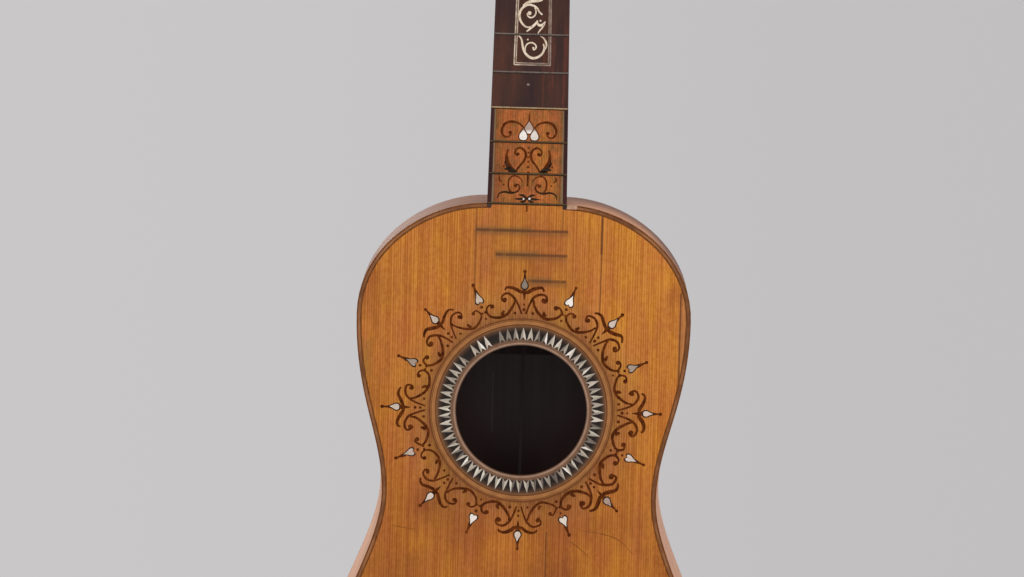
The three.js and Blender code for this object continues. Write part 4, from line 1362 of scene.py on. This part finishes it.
def add_edge_lines(paints):
    loop = rim_loop("front_binding")
    quarter = len(loop) // 4
    outline = loop[-quarter:] + loop[: quarter + 1]
    lines = Inlay()
    for inset, half in edge_lines:
        lines.stroke([(x, z, half) for x, z in inset_run(outline, inset, body_middle_z)])
    lines.piece("edge_lines", "binding", paints["dark_line"])
    scores = Inlay()
    for points in scratches:
        scores.curve([scaled(*point) for point in points], scratch_half_widths)
    scores.piece("surface_scratches", "binding", paints["dark_line"])
    bare = Inlay()
    bare.count = bare_steps
    low_corners = [(bare_start_x, bare_low_z), (bare_end_x, bare_low_z)]
    bare.slab(low_corners + [(bare_end_x, bare_top_z), (bare_start_x, bare_top_z)])
    bare.piece("bare_edge", "rib_wood", paints["bare_wood"])
    plugs = Inlay()
    plugs.count = plug_steps
    for x, z in plug_places:
        plugs.dot(x, z, plug_radius)
    plugs.piece("fret_end_plugs", "fret_metal", paints["iron"])


# The head's face: light lines round its edge, and the tongue's first motif again on its crown
head_pivot = Vector((0, -10 * mm, 5 * mm))
head_tilt = math.radians(12)
head_veneer_thickness = 1.5 * mm
head_middle_z = 90 * mm
head_line_insets = (2.6 * mm, 4.1 * mm)
head_line_half_width = 0.35 * mm
head_motif_top_z = 184 * mm
head_motif_width = 46 * mm


def add_head_inlay(paints):
    to_pivot = Matrix.Translation(head_pivot) @ Matrix.Rotation(-head_tilt, 4, "X")
    placing = to_pivot @ Matrix.Translation((0, -front_y - head_veneer_thickness, 0))
    outline = rim_loop("head_veneer", placing)
    lines = Inlay()
    for inset in head_line_insets:
        run = inset_run(outline, inset, head_middle_z, True)
        lines.stroke([(x, z, head_line_half_width) for x, z in run], True)
    for side in (-1, 1):
        lines.place = motif_place(head_motif_width, head_motif_top_z, side)
        lines.curves(tongue_side_curve_shares[:1], tongue_thin)
        lines.dots(tongue_side_dot_shares[:1], head_motif_width)
    pearls = Inlay()
    pearls.count = lines.count + layer_slabs
    for leaf in motif_drops(head_motif_width, head_motif_top_z):
        pearls.slab(leaf_outline(*leaf))
    lines.piece("head_lines", "ivory", paints["ivory"], placing)
    pearls.piece("head_pearls", "pearl", paints["pearl"], placing)


# Pegs: the axis points out of the head's back
peg_count = 10
peg_axis = Vector((0, math.cos(head_tilt), -math.sin(head_tilt)))
head_up = Vector((0, math.sin(head_tilt), math.cos(head_tilt)))
peg_turn_step = math.radians(23)
peg_sides = 28
knob_rings = 14
knob_start = 22.3 * mm
knob_height = 19 * mm
knob_width = 21 * mm
knob_thickness = 7.5 * mm
knob_end_turn = math.radians(15)
knob_edge_power = 0.5
button_radius = 1.8 * mm
button_length = 3 * mm
# (along, radius), in millimetres for the shaft and collar, and as shares for the button
peg_profile = [
    (-11, 2.3), (-10.5, 3), (14, 3.98), (14.35, 4.9), (14.7, 5.5), (15.3, 5.6), (15.8, 5.1), (16.1, 5.1),
    (16.5, 5.5), (17, 5.5), (17.4, 4.6), (18.3, 3.5), (20, 3), (21.6, 3.2),
]
button_profile_shares = [(0, 0.75), (0.25, 1), (0.75, 1), (1, 0.6)]


def peg_rings():
    """(along the axis, half width, half thickness) from the tip of the shaft to the end of the button"""
    rings = [(along * mm, radius * mm, radius * mm) for along, radius in peg_profile]
    for i in range(knob_rings + 1):
        angle = knob_end_turn + (math.pi - 2 * knob_end_turn) * i / knob_rings
        along = knob_start + knob_height * (1 - math.cos(angle)) / 2
        swell = math.sin(angle)
        rings.append((along, knob_width / 2 * swell, knob_thickness / 2 * swell ** knob_edge_power))
    for along_share, radius_share in button_profile_shares:
        radius = button_radius * radius_share
        rings.append((knob_start + knob_height + button_length * along_share, radius, radius))
    return rings


def add_pegs(paints):
    for number in range(1, peg_count + 1):
        joint = next(joint for joint in frame["joints"] if joint["name"] == f"peg_{number}_turn")
        centre = Vector(joint["pos_m"])
        wide = Quaternion(peg_axis, -peg_turn_step * (number - 1)) @ head_up
        flat = peg_axis.cross(wide)
        mesh = bmesh.new()
        rows = []
        for along, across, through in peg_rings():
            row = []
            for i in range(peg_sides):
                angle = 2 * math.pi * i / peg_sides
                out = wide * (across * math.sin(angle)) + flat * (through * math.cos(angle))
                row.append(mesh.verts.new(centre + peg_axis * along + out))
            rows.append(row)
        join_rows(mesh, rows)
        mesh.faces.new(rows[0][::-1])
        mesh.faces.new(rows[-1])
        bmesh.ops.recalc_face_normals(mesh, faces=mesh.faces)
        for face in mesh.faces:
            face.smooth = len(face.verts) == 4
        peg = add_mesh(f"turned_peg_{number}", mesh, paints["ebony"])
        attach(peg, f"peg_{number}_body")
        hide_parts(f"peg_{number}")


scene.view_settings.view_transform = "Standard"
add_camera()
add_world()
add_lamps()
add_floor()
paints = make_paints()
dress_nodes(paints)
add_arabesque(paints)
add_arrowheads(paints)
add_tongue_inlay(paints)
add_panel(paints)
add_edge_lines(paints)
add_head_inlay(paints)
add_pegs(paints)
